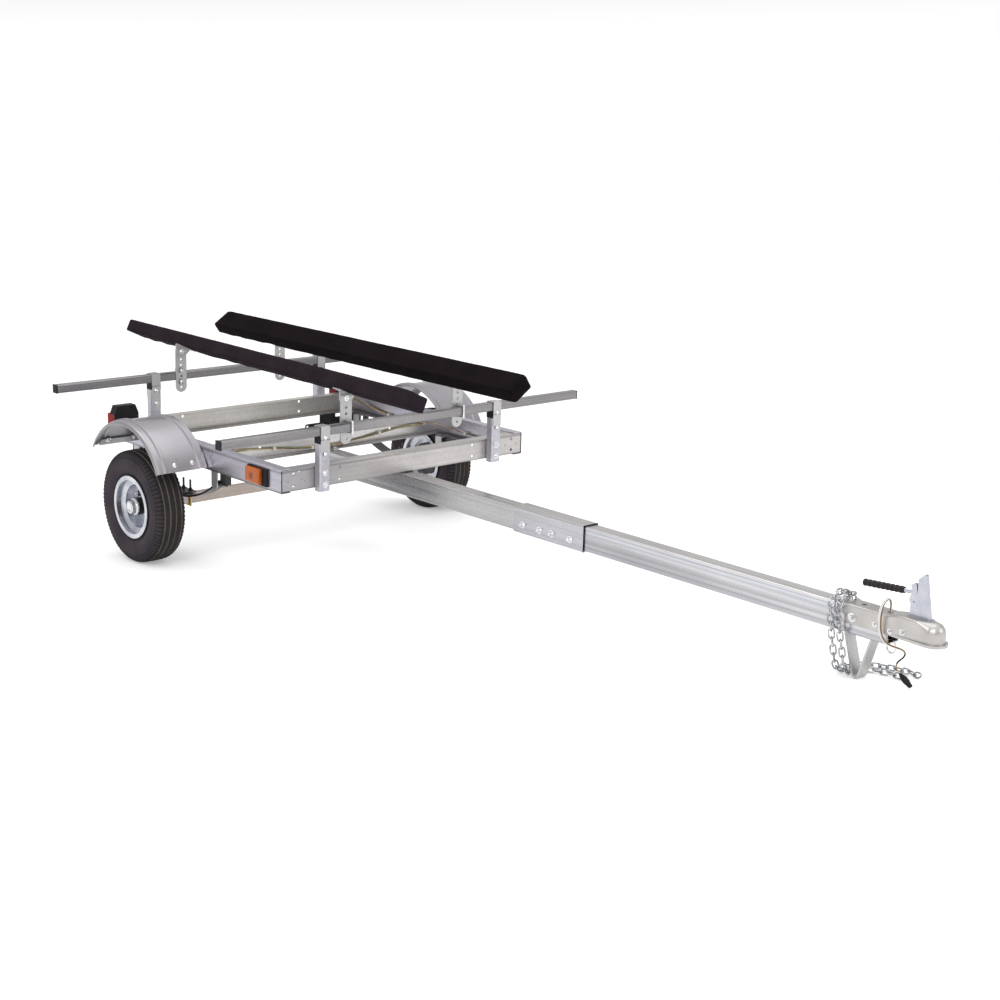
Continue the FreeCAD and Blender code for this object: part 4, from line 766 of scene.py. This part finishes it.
# %% Bunk places
BUNKS = {"right": (-1, 25.0, -281.0, -284.0), "left": (1, 34.0, 229.0, 185.0)}
FRONT_SEAT_X, REAR_SEAT_X = 684.0, -376.0
FRONT_SEAT_Z, REAR_SEAT_Z = 463.0, 483.0
BUNK_FIRST, BUNK_LAST = -728.0, 1042.0
BUNK_HALF, BUNK_RISE, BUNK_THICK, BUNK_CORNER = 47.5, 22.0, 44.0, 6.5
PILE_REAR = {"right": 0.0, "left": -2.0}
PILE_FRONT = {"right": 14.0, "left": 15.0}
SAG_REAR = 8.0
BUNK_STEPS = 236
FOLD_DEPTH = 0.09


def bunk_frame(name):
    """The bunk's rear seat, its run, its normal and the way across it."""
    side, lean, front_y, rear_y = BUNKS[name]
    angle = math.radians(lean)
    seat = Vector((REAR_SEAT_X, rear_y, REAR_SEAT_Z))
    run = Vector((FRONT_SEAT_X - REAR_SEAT_X, front_y - rear_y, FRONT_SEAT_Z - REAR_SEAT_Z))
    normal = Vector((0, -side * math.sin(angle), math.cos(angle)))
    across = Vector((0, -side * math.cos(angle), -math.sin(angle)))
    return seat, run / run.x, normal, across


# %% Bunks
def bunk_outline(bm):
    """The board's outline as a face across X, its corners rounded and its sides divided."""
    corners = [bm.verts.new((0, u, w)) for u, w in ((BUNK_HALF, 0), (BUNK_HALF, BUNK_THICK),
                                                    (-BUNK_HALF, BUNK_THICK), (-BUNK_HALF, 0))]
    face = bm.faces.new(corners)
    bmesh.ops.bevel(bm, geom=corners, offset=BUNK_CORNER, segments=4, profile=0.5, affect="VERTICES",
                    material=-1)
    long_edges = [edge for edge in bm.edges if edge.calc_length() > BUNK_CORNER * 2]
    for edge in long_edges:
        bmesh.ops.subdivide_edges(bm, edges=[edge], cuts=round(edge.calc_length() / 8))
    bmesh.ops.delete(bm, geom=bm.faces[:], context="FACES_ONLY")


def add_bunk(name):
    seat, slope, normal, across = bunk_frame(name)
    stride = (BUNK_LAST - BUNK_FIRST) / BUNK_STEPS
    bm = bmesh.new()
    bunk_outline(bm)
    spun(bm, bm.verts[:] + bm.edges[:], (0, 0, 0), (1, 0, 0), 0, BUNK_STEPS, stride=(stride, 0, 0))
    bmesh.ops.holes_fill(bm, edges=[edge for edge in bm.edges if edge.is_boundary], sides=0)
    ends = [face for face in bm.faces if len(face.verts) > 4]
    bmesh.ops.inset_region(bm, faces=ends, thickness=7, depth=1.2)
    for vert in bm.verts:
        row, u, w = vert.co.x / stride, vert.co.y, vert.co.z
        end = min(row, BUNK_STEPS - row)
        shrink = 1 - FOLD_DEPTH * math.exp(-max(end, 0))
        spot = Vector((BUNK_FIRST + vert.co.x, u, w)) * 0.02
        lift = noise.noise(spot * 3.0) * 0.5 + noise.noise(spot * 11.0) * 0.25 - 0.6
        lift += 0.5 * noise.noise(Vector((vert.co.x * 0.004, u * 0.01, 7.0)))
        rise = w - BUNK_THICK / 2
        out = Vector((u / BUNK_HALF, rise / (BUNK_THICK / 2), 0)).normalized() * lift
        x = BUNK_FIRST + vert.co.x
        share = (x - BUNK_FIRST) / (BUNK_LAST - BUNK_FIRST)
        pile = (PILE_REAR[name] + (PILE_FRONT[name] - PILE_REAR[name]) * share) * w / BUNK_THICK
        seated = min(abs(x - FRONT_SEAT_X), abs(x - REAR_SEAT_X), 50) / 50
        ripple = 0.8 + 0.2 * math.sin(x * 0.045 + 2 * math.sin(x * 0.011))
        pile -= SAG_REAR * (1 - share) * ripple * seated * (1 - w / BUNK_THICK)
        middle = seat + slope * (x - REAR_SEAT_X) + normal * (BUNK_RISE + BUNK_THICK / 2)
        vert.co = middle + across * (u * shrink + out.x) + normal * (rise * shrink + out.y + pile)
    # The left bunk takes the darker copy of the carpet as painted shade.
    look_name = "carpet" if name == "right" else "dark_carpet"
    finish_piece("carpet_" + name, bm, [look_name], smooth=60, replaces="bunk_" + name)


for name in BUNKS:
    add_bunk(name)

# %% [markdown]
# The tyre is one section, spun all the way round. Its tread is a small change of radius: a
# corner that lies on a rib or a shoulder, at every third step, is let down a few millimetres.
# That gives notches and lugs without a single extra cut. Dust shows in the narrow grooves. The darker tread
# rubber also lies on the bead and at the shoulder's notches, as painted shade.

# %% Tyre section
TYRE_STEPS = 240
BEAD, WALL, SHOULDER, TREAD, GROOVE = range(5)
HALF_SECTION = [
    (44, 106, BEAD), (47, 114, BEAD), (49, 121, BEAD), (50, 124, BEAD), (52, 126, WALL),
    (54.5, 130, WALL), (55, 133, WALL), (56, 134.5, WALL), (58.5, 141, WALL), (60, 150, WALL),
    (60.8, 158, WALL), (60.9, 163, WALL), (60.2, 164, WALL), (60.0, 170, WALL), (59.0, 178, WALL),
    (58.2, 183, SHOULDER), (57.4, 188, SHOULDER), (55.6, 193, SHOULDER), (53.0, 198, SHOULDER),
    (50.0, 201.5, SHOULDER), (46.5, 203.5, SHOULDER), (43.0, 204.8, TREAD), (38.2, 205.6, TREAD),
    (36.8, 206.3, TREAD), (36.0, 203.4, GROOVE), (33.0, 203.4, GROOVE), (32.2, 206.6, TREAD),
    (26.5, 207.2, TREAD), (20.5, 207.3, TREAD), (14.2, 207.3, TREAD), (13.4, 204.0, GROOVE),
    (10.4, 204.0, GROOVE), (9.6, 207.6, TREAD), (6.0, 207.8, TREAD), (1.2, 207.9, TREAD),
    (0.5, 206.9, TREAD)]

SHOULDER_NOTCH, EDGE_NOTCH, RIB_NOTCH = 4.6, 4.2, 1.8


def notch(step, offset, radius, band):
    """How far a corner of the section is let down at this step round the tyre."""
    lug = (step + (1 if offset < 0 else 0)) % 3
    if band == SHOULDER and radius > 184 and lug == 0:
        return SHOULDER_NOTCH
    if band == TREAD and abs(offset) > 37 and lug == 0:
        return EDGE_NOTCH
    if band == TREAD and 14 < abs(offset) < 32 and (step + int(abs(offset)) // 9) % 3 == 2:
        return RIB_NOTCH
    return 0.0


# %% Tyres
def steps_round(point):
    """How far round the tyre a point lies, in steps."""
    return math.atan2(point.z, point.x) / (2 * math.pi) * TYRE_STEPS


def add_tyre(name, side):
    section = HALF_SECTION + [(-offset, radius, band) for offset, radius, band in HALF_SECTION[::-1]]
    bands = {(round(offset, 1), round(radius, 1)): band for offset, radius, band in section}
    bm = bmesh.new()
    line = polyline(bm, [(radius, offset, 0) for offset, radius, _ in section], closed=True)
    spun(bm, line, (0, 0, 0), (0, 1, 0), 2 * math.pi, TYRE_STEPS, merge=True)
    # Bead faces take the darker tread rubber as painted shade in the gap by the rim, and so do the shoulder
    # faces at the notches.
    for face in bm.faces:
        kinds = [bands[(round(vert.co.y, 1), round(math.hypot(vert.co.x, vert.co.z), 1))]
                 for vert in face.verts]
        if kinds.count(GROOVE) >= 2:
            face.material_index = 2
        elif max(kinds) >= SHOULDER or min(kinds) == BEAD:
            face.material_index = 1
        if kinds.count(SHOULDER) == 4:
            middle = face.calc_center_median()
            lug = math.floor(steps_round(middle) + (1 if middle.y < 0 else 0)) % 3
            face.material_index = 0 if lug == 1 else 1
    for vert in bm.verts:
        radius = math.hypot(vert.co.x, vert.co.z)
        band = bands[(round(vert.co.y, 1), round(radius, 1))]
        share = 1 - notch(round(steps_round(vert.co)) % TYRE_STEPS, vert.co.y, radius, band) / radius
        vert.co.x *= share
        vert.co.z *= share
    bmesh.ops.translate(bm, vec=(0, side * HALF_TRACK, 0), verts=bm.verts[:])
    finish_piece("treaded_tyre_" + name, bm, ["wall", "tread", "groove"], "wheel_" + name, smooth=24,
                 replaces="tyre_" + name)


for name, side in SIDES.items():
    add_tyre(name, side)

# %% [markdown]
# In each wheel stand a bright cap over the bearing, four nuts on their studs and a rubber
# valve. All are turned forms.

# %% Wheel fittings
CAP_FACE, DISC_FACE, STUD_CIRCLE = 36.0, -9.0, 50.8
VALVE_ANGLE, VALVE_CIRCLE, VALVE_FACE, VALVE_LEAN = 0.9, 96, 30, 0.45
HUB_CAP = [(0, -1.0), (30.5, -1.0), (31.4, 0.5), (31.4, 4.0), (29.0, 5.6), (26.6, 6.2), (25.2, 8.0),
           (24.9, 18.0), (24.2, 21.4), (22.0, 23.0), (16.0, 23.8), (14.5, 22.6), (0, 22.2)]
WHEEL_NUT = [(0, 0), (8.6, 0), (10.6, 3.0), (10.8, 5.0), (10.8, 15.0), (9.4, 17.0), (7.4, 17.4),
             (7.2, 16.2), (0, 16.2)]
STUD_END = [(0, 16.0), (6.0, 16.0), (6.0, 19.4), (5.0, 20.4), (0, 20.4)]
VALVE_STEM = [(0, -8), (6.6, -8), (6.8, 0), (5.2, 3.0), (4.2, 8.0), (3.8, 16.0), (0, 16.0)]
VALVE_CAP = [(0, 15.5), (4.4, 15.5), (4.5, 17), (4.4, 23.5), (3.6, 24.6), (0, 24.6)]


def add_wheel_fittings(name, side):
    axis = (0, side, 0)
    bm = bmesh.new()
    lathe(bm, (0, side * (HALF_TRACK + CAP_FACE), 0), axis, HUB_CAP, 56)
    for place in range(4):
        angle = math.pi / 2 * (place + 0.5)
        spot = (STUD_CIRCLE * math.cos(angle), side * (HALF_TRACK + DISC_FACE), STUD_CIRCLE * math.sin(angle))
        lathe(bm, spot, axis, WHEEL_NUT, 6, phase=angle)
        lathe(bm, spot, axis, STUD_END, 14)
    finish_piece("wheel_nuts_and_cap_" + name, bm, ["bolt"], "wheel_" + name)
    bm = bmesh.new()
    x, z = math.cos(VALVE_ANGLE), math.sin(VALVE_ANGLE)
    root = Vector((x * VALVE_CIRCLE, side * (HALF_TRACK + VALVE_FACE), z * VALVE_CIRCLE))
    lean = Vector((-x * VALVE_LEAN, side, -z * VALVE_LEAN))
    lathe(bm, root, lean, VALVE_STEM, 20)
    lathe(bm, root, lean, VALVE_CAP, 16)
    finish_piece("valve_" + name, bm, ["grip"], "wheel_" + name)


for name, side in SIDES.items():
    add_wheel_fittings(name, side)

# %% [markdown]
# The safety chain's links are plain rings in the CAD model, each in its real place. One round
# wire link is made here: a circle, spun half a turn, drawn straight, spun again and closed. A copy
# of it goes on each CAD ring, turned by the ring's own long and wide directions.

# %% Chain link
CHAIN_WIRE, LINK_INSIDE, LINK_WIDTH = 0.0051, 0.0245, 0.0109


def link_mesh():
    """One link about the origin, long along X and wide along Y."""
    radius = CHAIN_WIRE / 2
    bend = LINK_WIDTH / 2 + radius
    straight = LINK_INSIDE / 2 + radius - bend
    bm = bmesh.new()
    turn = Matrix.Translation((straight, -bend, 0)) @ Matrix.Rotation(math.pi / 2, 4, "Y")
    ring = bmesh.ops.create_circle(bm, segments=10, radius=radius, matrix=turn)["verts"]
    ring_edges = edges_of(ring)
    _, edges = end_loop(spun(bm, ring + ring_edges, (straight, 0, 0), (0, 0, 1), math.pi, 6))
    moved, edges = drawn_on(bm, edges)
    bmesh.ops.translate(bm, vec=(-2 * straight, 0, 0), verts=moved)
    _, edges = end_loop(spun(bm, moved + edges, (-straight, 0, 0), (0, 0, 1), math.pi, 6))
    bmesh.ops.bridge_loops(bm, edges=edges + ring_edges)
    return to_mesh(bm, "link")


# %% Chain
def islands(mesh):
    """The points of each separate ring in a mesh of loose triangles."""
    bm = bmesh.new()
    bm.from_mesh(mesh)
    bmesh.ops.remove_doubles(bm, verts=bm.verts[:], dist=0.00001)
    waiting = set(bm.verts)
    rings = []
    while waiting:
        ring, edge_of_search = set(), [waiting.pop()]
        while edge_of_search:
            vert = edge_of_search.pop()
            ring.add(vert)
            for edge in vert.link_edges:
                other = edge.other_vert(vert)
                if other in waiting:
                    waiting.remove(other)
                    edge_of_search.append(other)
        rings.append(sorted(tuple(round(value, 6) for value in vert.co) for vert in ring))
    bm.free()
    return sorted(rings)


def add_chain():
    bm = bmesh.new()
    link = link_mesh()
    for points in islands(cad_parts["safety_chain"].data):
        cloud = np.array(points)
        middle = cloud.mean(axis=0)
        _, axes = np.linalg.eigh(np.cov((cloud - middle).T))
        forward, across = Vector(axes[:, 2]), Vector(axes[:, 1])
        turn = Matrix((forward, across, forward.cross(across))).transposed().to_4x4()
        before = len(bm.verts)
        bm.from_mesh(link)
        bmesh.ops.transform(bm, matrix=Matrix.Translation(middle) @ turn, verts=newest(bm.verts, before))
    finish_piece("round_link_chain", bm, ["chain"], carry=IN_PLACE, smooth=80, replaces="safety_chain")


add_chain()

# %% [markdown]
# A wire is flexible, so it gets a smooth line first: a NURBS curve whose controls are the
# route's points. The plain curve is read back as points, and each coloured strand is drawn beside
# that line, a little way off it and slowly turning, as loose wires in a loom do.

# %% Routes
LEAD_ROUTE = [(1651, 0, 190), (1653, 0, 219), (1657, -5, 240), (1660, -20, 253), (1659, -38, 249),
              (1655, -48, 230), (1651, -48, 205), (1649, -45, 182), (1650, -43, 158), (1658, -40, 138),
              (1675, -34, 125), (1693, -22, 119), (1705, -9, 112), (1705.5, -1, 99), (1698.5, 0, 88.5),
              (1689, 0, 80), (1680, 0, 71.5), (1675.5, 0, 61), (1678.6, 0, 49.4), (1687.9, 0, 41.8)]
LOOM_ROUTE = [(-371, 500, 225), (-338, 508, 222), (-300, 526, 212), (-260, 541, 200), (-214, 547.5, 190),
              (-148, 547.5, 182), (-64, 547.5, 178), (28, 547, 180), (98, 542, 187), (140, 522, 194),
              (172, 490, 201), (209, 470, 204), (208, 430, 206), (204.5, 366, 204), (204.5, 290, 198),
              (204.5, 206, 189), (204.5, 118, 179), (204.5, 30, 174)]
BRANCH_ROUTE = [(217, 426, 219), (228, 456, 217), (258, 500, 207), (300, 533, 196), (350, 546, 187),
                (404, 548, 182), (458, 548, 184), (512, 551.5, 190)]


# %% Tools for wires
def read_curve(data):
    """The mesh that a curve makes."""
    holder = bpy.data.objects.new("curve_reader", data)
    bpy.context.scene.collection.objects.link(holder)
    bpy.context.view_layer.update()
    graph = bpy.context.evaluated_depsgraph_get()
    mesh = bpy.data.meshes.new_from_object(holder.evaluated_get(graph))
    bpy.data.objects.remove(holder)
    return mesh


def new_curve(kind, points):
    """A curve with one spline that has the points as its controls."""
    data = bpy.data.curves.new("line", "CURVE")
    data.dimensions = "3D"
    spline = data.splines.new(kind)
    spline.points.add(len(points) - 1)
    for control, point in zip(spline.points, points):
        control.co = (*point, 1)
    return data, spline


def smooth_line(points, carry):
    """Points along one NURBS line that has the given points as its controls."""
    data, spline = new_curve("NURBS", [carry @ Vector(point) for point in points])
    spline.order_u = 3
    spline.use_endpoint_u = True
    spline.resolution_u = 10
    return [vertex.co.copy() for vertex in read_curve(data).vertices]


def add_wire(bm, points, radius, index, resolution=1):
    """A round wire along the points, closed at both ends."""
    data, _ = new_curve("POLY", points)
    data.bevel_depth = radius
    data.bevel_resolution = resolution
    data.use_fill_caps = True
    before = len(bm.faces)
    bm.from_mesh(read_curve(data))
    for face in newest(bm.faces, before):
        face.material_index = index


def strand(points, reach, phase, turns):
    """A wire's own line, a reach off the shared one; the reach may be a function of the share."""
    line = []
    side = None
    for place, point in enumerate(points):
        before, after = points[max(place - 1, 0)], points[min(place + 1, len(points) - 1)]
        forward = (after - before).normalized()
        if side is None:
            _, side, _ = frame_of(forward)
        side = (side - forward * side.dot(forward)).normalized()
        share = place / (len(points) - 1)
        angle = phase + 2 * math.pi * turns * share
        off = reach(share) if callable(reach) else reach
        line.append(point + (side * math.cos(angle) + forward.cross(side) * math.sin(angle)) * off)
    return line


# %% [markdown]
# The loom runs from lamp to lamp in the frame and has a branch to each side marker. It is held by clips all
# the way, so it is no free cord. The lead to the plug is one: it hangs.

# %% Loom and lead
def bunched(share):
    """Strands of the loom part and close again between its clips."""
    return 0.0019 + 0.0012 * math.sin(share * 41) ** 2


LOOM_WIRE, BRANCH_WIRE, LEAD_WIRE, LEAD_SLEEVE = 0.0014, 0.0012, 0.0015, 0.0023


def add_loom():
    bm = bmesh.new()
    line = smooth_line(LOOM_ROUTE + [(x, -y, z) for x, y, z in LOOM_ROUTE[::-1]], PARKED)
    for place in range(4):
        add_wire(bm, strand(line, bunched, place * math.pi / 2, 7), LOOM_WIRE, place)
    for side in BOTH:
        line = smooth_line([(x, side * y, z) for x, y, z in BRANCH_ROUTE], PARKED)
        for place, index in enumerate((0, 2)):
            add_wire(bm, strand(line, BRANCH_WIRE, place * math.pi, 3), BRANCH_WIRE, index)
    finish_piece("loom_wires", bm, ["tan_wire", "cream_wire", "brown_wire", "green_wire"], carry=IN_PLACE,
                 smooth=70, replaces="wiring_harness")


def loose(share):
    """Strands lie together at both ends and stand apart between."""
    return 0.0016 + 0.0020 * math.sin(math.pi * share) ** 2


PLUG_STATIONS = [(0, 5.5, 5), (4, 6.5, 6), (4.6, 8.5, 8), (9, 9.5, 9), (9.6, 13, 10), (17, 19.6, 12.8),
                 (31, 19.6, 12.8), (39, 15, 11), (47, 13, 10), (49.4, 11, 8)]


def add_plug(start):
    """A flat moulded plug, widest in the middle, drawn from station to station along its length."""
    cloud = np.array([tuple(vertex.co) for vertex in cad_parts["plug"].data.vertices])
    middle = Vector((cloud.max(axis=0) + cloud.min(axis=0)) / 2)
    forward = (middle - start).normalized()
    across = Vector((0, 1, 0))
    bm = bmesh.new()
    ring = bmesh.ops.create_circle(bm, segments=16, radius=0.5)["verts"]
    first = loop = edges_of(ring)
    for place, (reach, width, height) in enumerate(PLUG_STATIONS):
        if place:
            ring, loop = drawn_on(bm, loop)
        for vert in ring:
            angle = math.atan2(vert.co.z, vert.co.y) if place else math.atan2(vert.co.y, vert.co.x)
            u, w = (abs(turn) ** 0.5 * math.copysign(0.5, turn) for turn in (math.cos(angle), math.sin(angle)))
            vert.co = Vector((reach, u * width, w * height))
    bmesh.ops.holes_fill(bm, edges=first + loop, sides=0)
    turn = Matrix((forward, across, forward.cross(across))).transposed().to_4x4()
    carry = Matrix.Translation(start) @ turn @ Matrix.Scale(MM, 4)
    return finish_piece("moulded_plug", bm, ["black"], carry=carry, replaces="plug")


SLEEVE_TOP, SLEEVE_END = 0.104, 0.066


def add_lead():
    """Four wires hang from the coupler into a black sleeve, and two come out of it to the plug."""
    line = smooth_line(LEAD_ROUTE, FLOOR_FRAME)
    bm = bmesh.new()
    half = len(line) // 2
    cut = next(place for place, point in enumerate(line) if place > half and point.z < SLEEVE_TOP)
    stop = next(place for place, point in enumerate(line) if place > cut and point.z < SLEEVE_END)
    for place in range(4):
        add_wire(bm, strand(line[:cut], loose, place * math.pi / 2, 0.4), LEAD_WIRE, place)
    add_wire(bm, line[cut - 2:stop], LEAD_SLEEVE, 4, 2)
    for place, index in enumerate((1, 2)):
        add_wire(bm, strand(line[stop - 2:], 0.0011, place * math.pi, 1), BRANCH_WIRE, index)
    piece = finish_piece("plug_lead_wires", bm, ["white_wire", "cream_wire", "brown_wire", "white_wire",
                                                 "black"], carry=IN_PLACE, smooth=70, replaces="plug_lead")
    plug = add_plug(line[-1])


add_loom()
add_lead()

# %% [markdown]
# Bolts hold the frame together. A bolt is three turned forms: a washer, a six-sided head with a
# chamfer, and a ridged end that stands out of its nut. Carriage bolts show a low dome instead.


# %% Bolts
def hex_bolt(bm, origin, axis, across, stud=0.0, washer=0.98):
    """washer is its radius as a share of the head's width; stud is the thread's reach."""
    rim = across * washer
    base = 1.8
    lathe(bm, origin, axis, [(0, 0), (rim * 0.98, 0), (rim, 0.5), (rim * 0.97, base), (0, base)], 24)
    half = across * 0.577
    top = base + across * 0.55
    lathe(bm, origin, axis, [(0, base), (half * 0.97, base), (half, base + 0.6), (half, top - 1.2),
                             (half * 0.86, top), (0, top)], 6)
    if stud > 0:
        radius = across * 0.29
        profile = [(0, top)]
        height = top
        while height < top + stud:
            profile += [(radius * 0.9, height), (radius, height + 0.6)]
            height += 1.2
        lathe(bm, origin, axis, profile + [(radius * 0.8, height), (0, height)], 12)


def round_head(bm, origin, axis, radius, rise=0.42):
    profile = [(0, 0), (radius, 0), (radius, 0.8)]
    for share in (0.3, 0.6, 0.85):
        turn = share * math.pi / 2
        profile.append((radius * math.cos(turn), 0.8 + radius * rise * math.sin(turn)))
    lathe(bm, origin, axis, profile + [(0, 0.8 + radius * rise)], 20)


# %% Bolts, straps and discs of the frame
POST_FRONT, POST_REAR, POST_SPREAD = 722.0, -409.0, 396.0
REAR_POST_FACE = POST_REAR + 33.2
STRAP = 3.0
RAIL_FACE, HANGER_X, HANGER_Z = 557.8, 264.5, 210.9
RAIL_DISC = [(0, 0), (21.5, 0), (21.5, 0.9), (20.6, 1.5), (18.6, 1.3), (17.4, 0.7), (8.4, 0.7), (7.6, 1.2),
             (0, 1.3)]


def add_frame_bolts():
    """Two bolts at each post's foot, two domes at its head and, on a rear post, two nuts in front."""
    bm = bmesh.new()
    for side in BOTH:
        y = side * POST_SPREAD
        for z in (218.8, 177.3):
            hex_bolt(bm, (POST_FRONT, y, z), (1, 0, 0), 12, stud=3)
            hex_bolt(bm, (POST_REAR, y, z + 6), (-1, 0, 0), 12, stud=3)
        for x, axis, rise in ((POST_FRONT, 1, 0), (POST_REAR, -1, 20)):
            for z in (286.5, 343.5):
                round_head(bm, (x + STRAP * axis, y, z + rise), (axis, 0, 0), 8)
        for z in (288, 338):
            hex_bolt(bm, (REAR_POST_FACE + STRAP, y, z), (1, 0, 0), 12, stud=2)
    finish_piece("frame_bolts", bm, ["bolt"])


def add_post_straps():
    """A galvanised strap on each post's front, over the black end of the post."""
    bm = bmesh.new()
    for side in BOTH:
        low, high = sorted((side * 377.5, side * 414.5))
        block(bm, (POST_FRONT, low, 313), (POST_FRONT + STRAP, high, 335.5), 0.8)
        block(bm, (REAR_POST_FACE, low, 266), (REAR_POST_FACE + STRAP, high, 355.5), 0.8)
    finish_piece("post_straps", bm, ["plate"])


def add_rail_discs():
    """A low round pad where each spring hanger is welded behind the rail."""
    bm = bmesh.new()
    for side in BOTH:
        for x in (-HANGER_X, HANGER_X):
            lathe(bm, (x, side * RAIL_FACE, HANGER_Z), (0, side, 0), RAIL_DISC, 40)
    finish_piece("rail_discs", bm, ["rail"])


add_frame_bolts()
add_post_straps()
add_rail_discs()


# %% Bolts of the tongue, coupler and latch
TUBE_FACE, TUBE_TOP = 32.3, 162.2
TONGUE_TOP_BOLTS = (228, 656)
SPLICE_BOLTS = (1334.5, 1416.8, 1474.4, 1559.7)
COUPLER_BOLTS = ((2678, 131.6, 14), (2754.5, 131.3, 9), (2804.5, 124.4, 8), (2844.4, 132.1, 10))
LATCH_RIVETS = ((2877, 223.4), (2861.7, 193.7), (2884.6, 194.8))
BAR_SIZE, BAR_BOLT_GAP, BRACKET_DEPTH = 31.75, 6, 10


def add_tongue_bolts():
    bm = bmesh.new()
    for side in BOTH:
        for x in SPLICE_BOLTS:
            hex_bolt(bm, (x, side * TUBE_FACE, 108), (0, side, 0), 13, stud=6 if side < 0 else 0)
        for x, z, across in COUPLER_BOLTS:
            hex_bolt(bm, (x, side * TUBE_FACE, z), (0, side, 0), across, stud=3)
        for x in TONGUE_TOP_BOLTS:
            hex_bolt(bm, (x, side * 16, TUBE_TOP), (0, 0, 1), 13)
        for x, z in LATCH_RIVETS:
            round_head(bm, (x, side * 7, z), (0, side, 0), 3)
    finish_piece("tongue_bolts", bm, ["bolt"])


def add_bracket_bolts():
    """A bunk bracket has a pivot bolt at the bunk's angle and two bolts that clamp the load bar."""
    bm = bmesh.new()
    for _, _, front_y, rear_y in BUNKS.values():
        for face, axis, y, bar_z, pivot_z in ((679, -1, front_y, 349, FRONT_SEAT_Z),
                                              (-366, 1, rear_y, 369, REAR_SEAT_Z)):
            hex_bolt(bm, (face, y, pivot_z), (axis, 0, 0), 11, stud=4)
            hex_bolt(bm, (face - axis * BRACKET_DEPTH, y, pivot_z), (-axis, 0, 0), 10, washer=1.05)
            for z in (bar_z - BAR_BOLT_GAP, bar_z + BAR_SIZE + BAR_BOLT_GAP):
                hex_bolt(bm, (face, y, z), (axis, 0, 0), 11, stud=3)
    finish_piece("bunk_bolts", bm, ["bolt"])


add_tongue_bolts()
add_bracket_bolts()


# %% Bolts of the fenders and springs
FENDER_MIDDLE, FENDER_OUTSIDE, FENDER_INSIDE = 55, 265.0, 257.0
FENDER_BOLTS = ((31.0, (615.6, 688.5)), (142.5, (600, 706)))


def add_fender_bolts():
    bm = bmesh.new()
    for side in BOTH:
        for angle, places in FENDER_BOLTS:
            turn = math.radians(angle)
            out = Vector((math.cos(turn), 0, math.sin(turn)))
            for y in places:
                middle = Vector((0, side * y, FENDER_MIDDLE))
                round_head(bm, middle + out * FENDER_OUTSIDE, out, 9.5)
                hex_bolt(bm, middle + out * FENDER_INSIDE, -out, 12, stud=3)
    finish_piece("fender_bolts", bm, ["bolt"])


def add_clamp_nuts():
    """Four nuts under each spring, on the bolts that clamp it to the axle."""
    bm = bmesh.new()
    for side in BOTH:
        for reach in BOTH:
            for edge in BOTH:
                hex_bolt(bm, (edge * 23.3, side * 525 + reach * 26.8, 34.6), (0, 0, 1), 12)
    finish_piece("clamp_nuts", bm, ["paint"])


add_fender_bolts()
add_clamp_nuts()

# %% [markdown]
# Thin black strips are painted shadow in the joints: one where the front crossmember nests in each rail, and a
# line round the splice's front edge. A steel ring hangs under the tongue.


# %% Shadow strips and safety ring
SPLICE_SHADOW_STRIPS = (((1620, -32.6, 77.4), (1621.6, -28.6, 166.4)), ((1620, 28.6, 77.4), (1621.6, 32.6, 166.4)),
                 ((1620, -32.6, 162.9), (1621.6, 32.6, 166.4)))
RING_ROUTE = [(2783, -8, 92), (2781, -8, 78), (2784, -8, 63), (2794, -8, 54), (2805, -8, 57), (2811, -8, 69),
              (2809, -8, 82), (2805, -8, 92)]


# Black strips stand for the shadow in the seams.
def add_seam_shadow_strips():
    bm = bmesh.new()
    for side in BOTH:
        low, high = sorted((side * 551.8, side * 555.4))
        block(bm, (688.6, low, 165), (689.5, high, 239), 0.2)
    for low, high in SPLICE_SHADOW_STRIPS:
        block(bm, low, high, 0.3)
    finish_piece("seam_shadow_strips", bm, ["black"])


def add_safety_ring():
    """A round steel ring bent into a U, which hangs under the tongue's end."""
    bm = bmesh.new()
    add_wire(bm, smooth_line(RING_ROUTE, PARKED), 0.0032, 0, 2)
    finish_piece("safety_ring", bm, ["bolt"], carry=IN_PLACE, smooth=70)


add_seam_shadow_strips()
add_safety_ring()
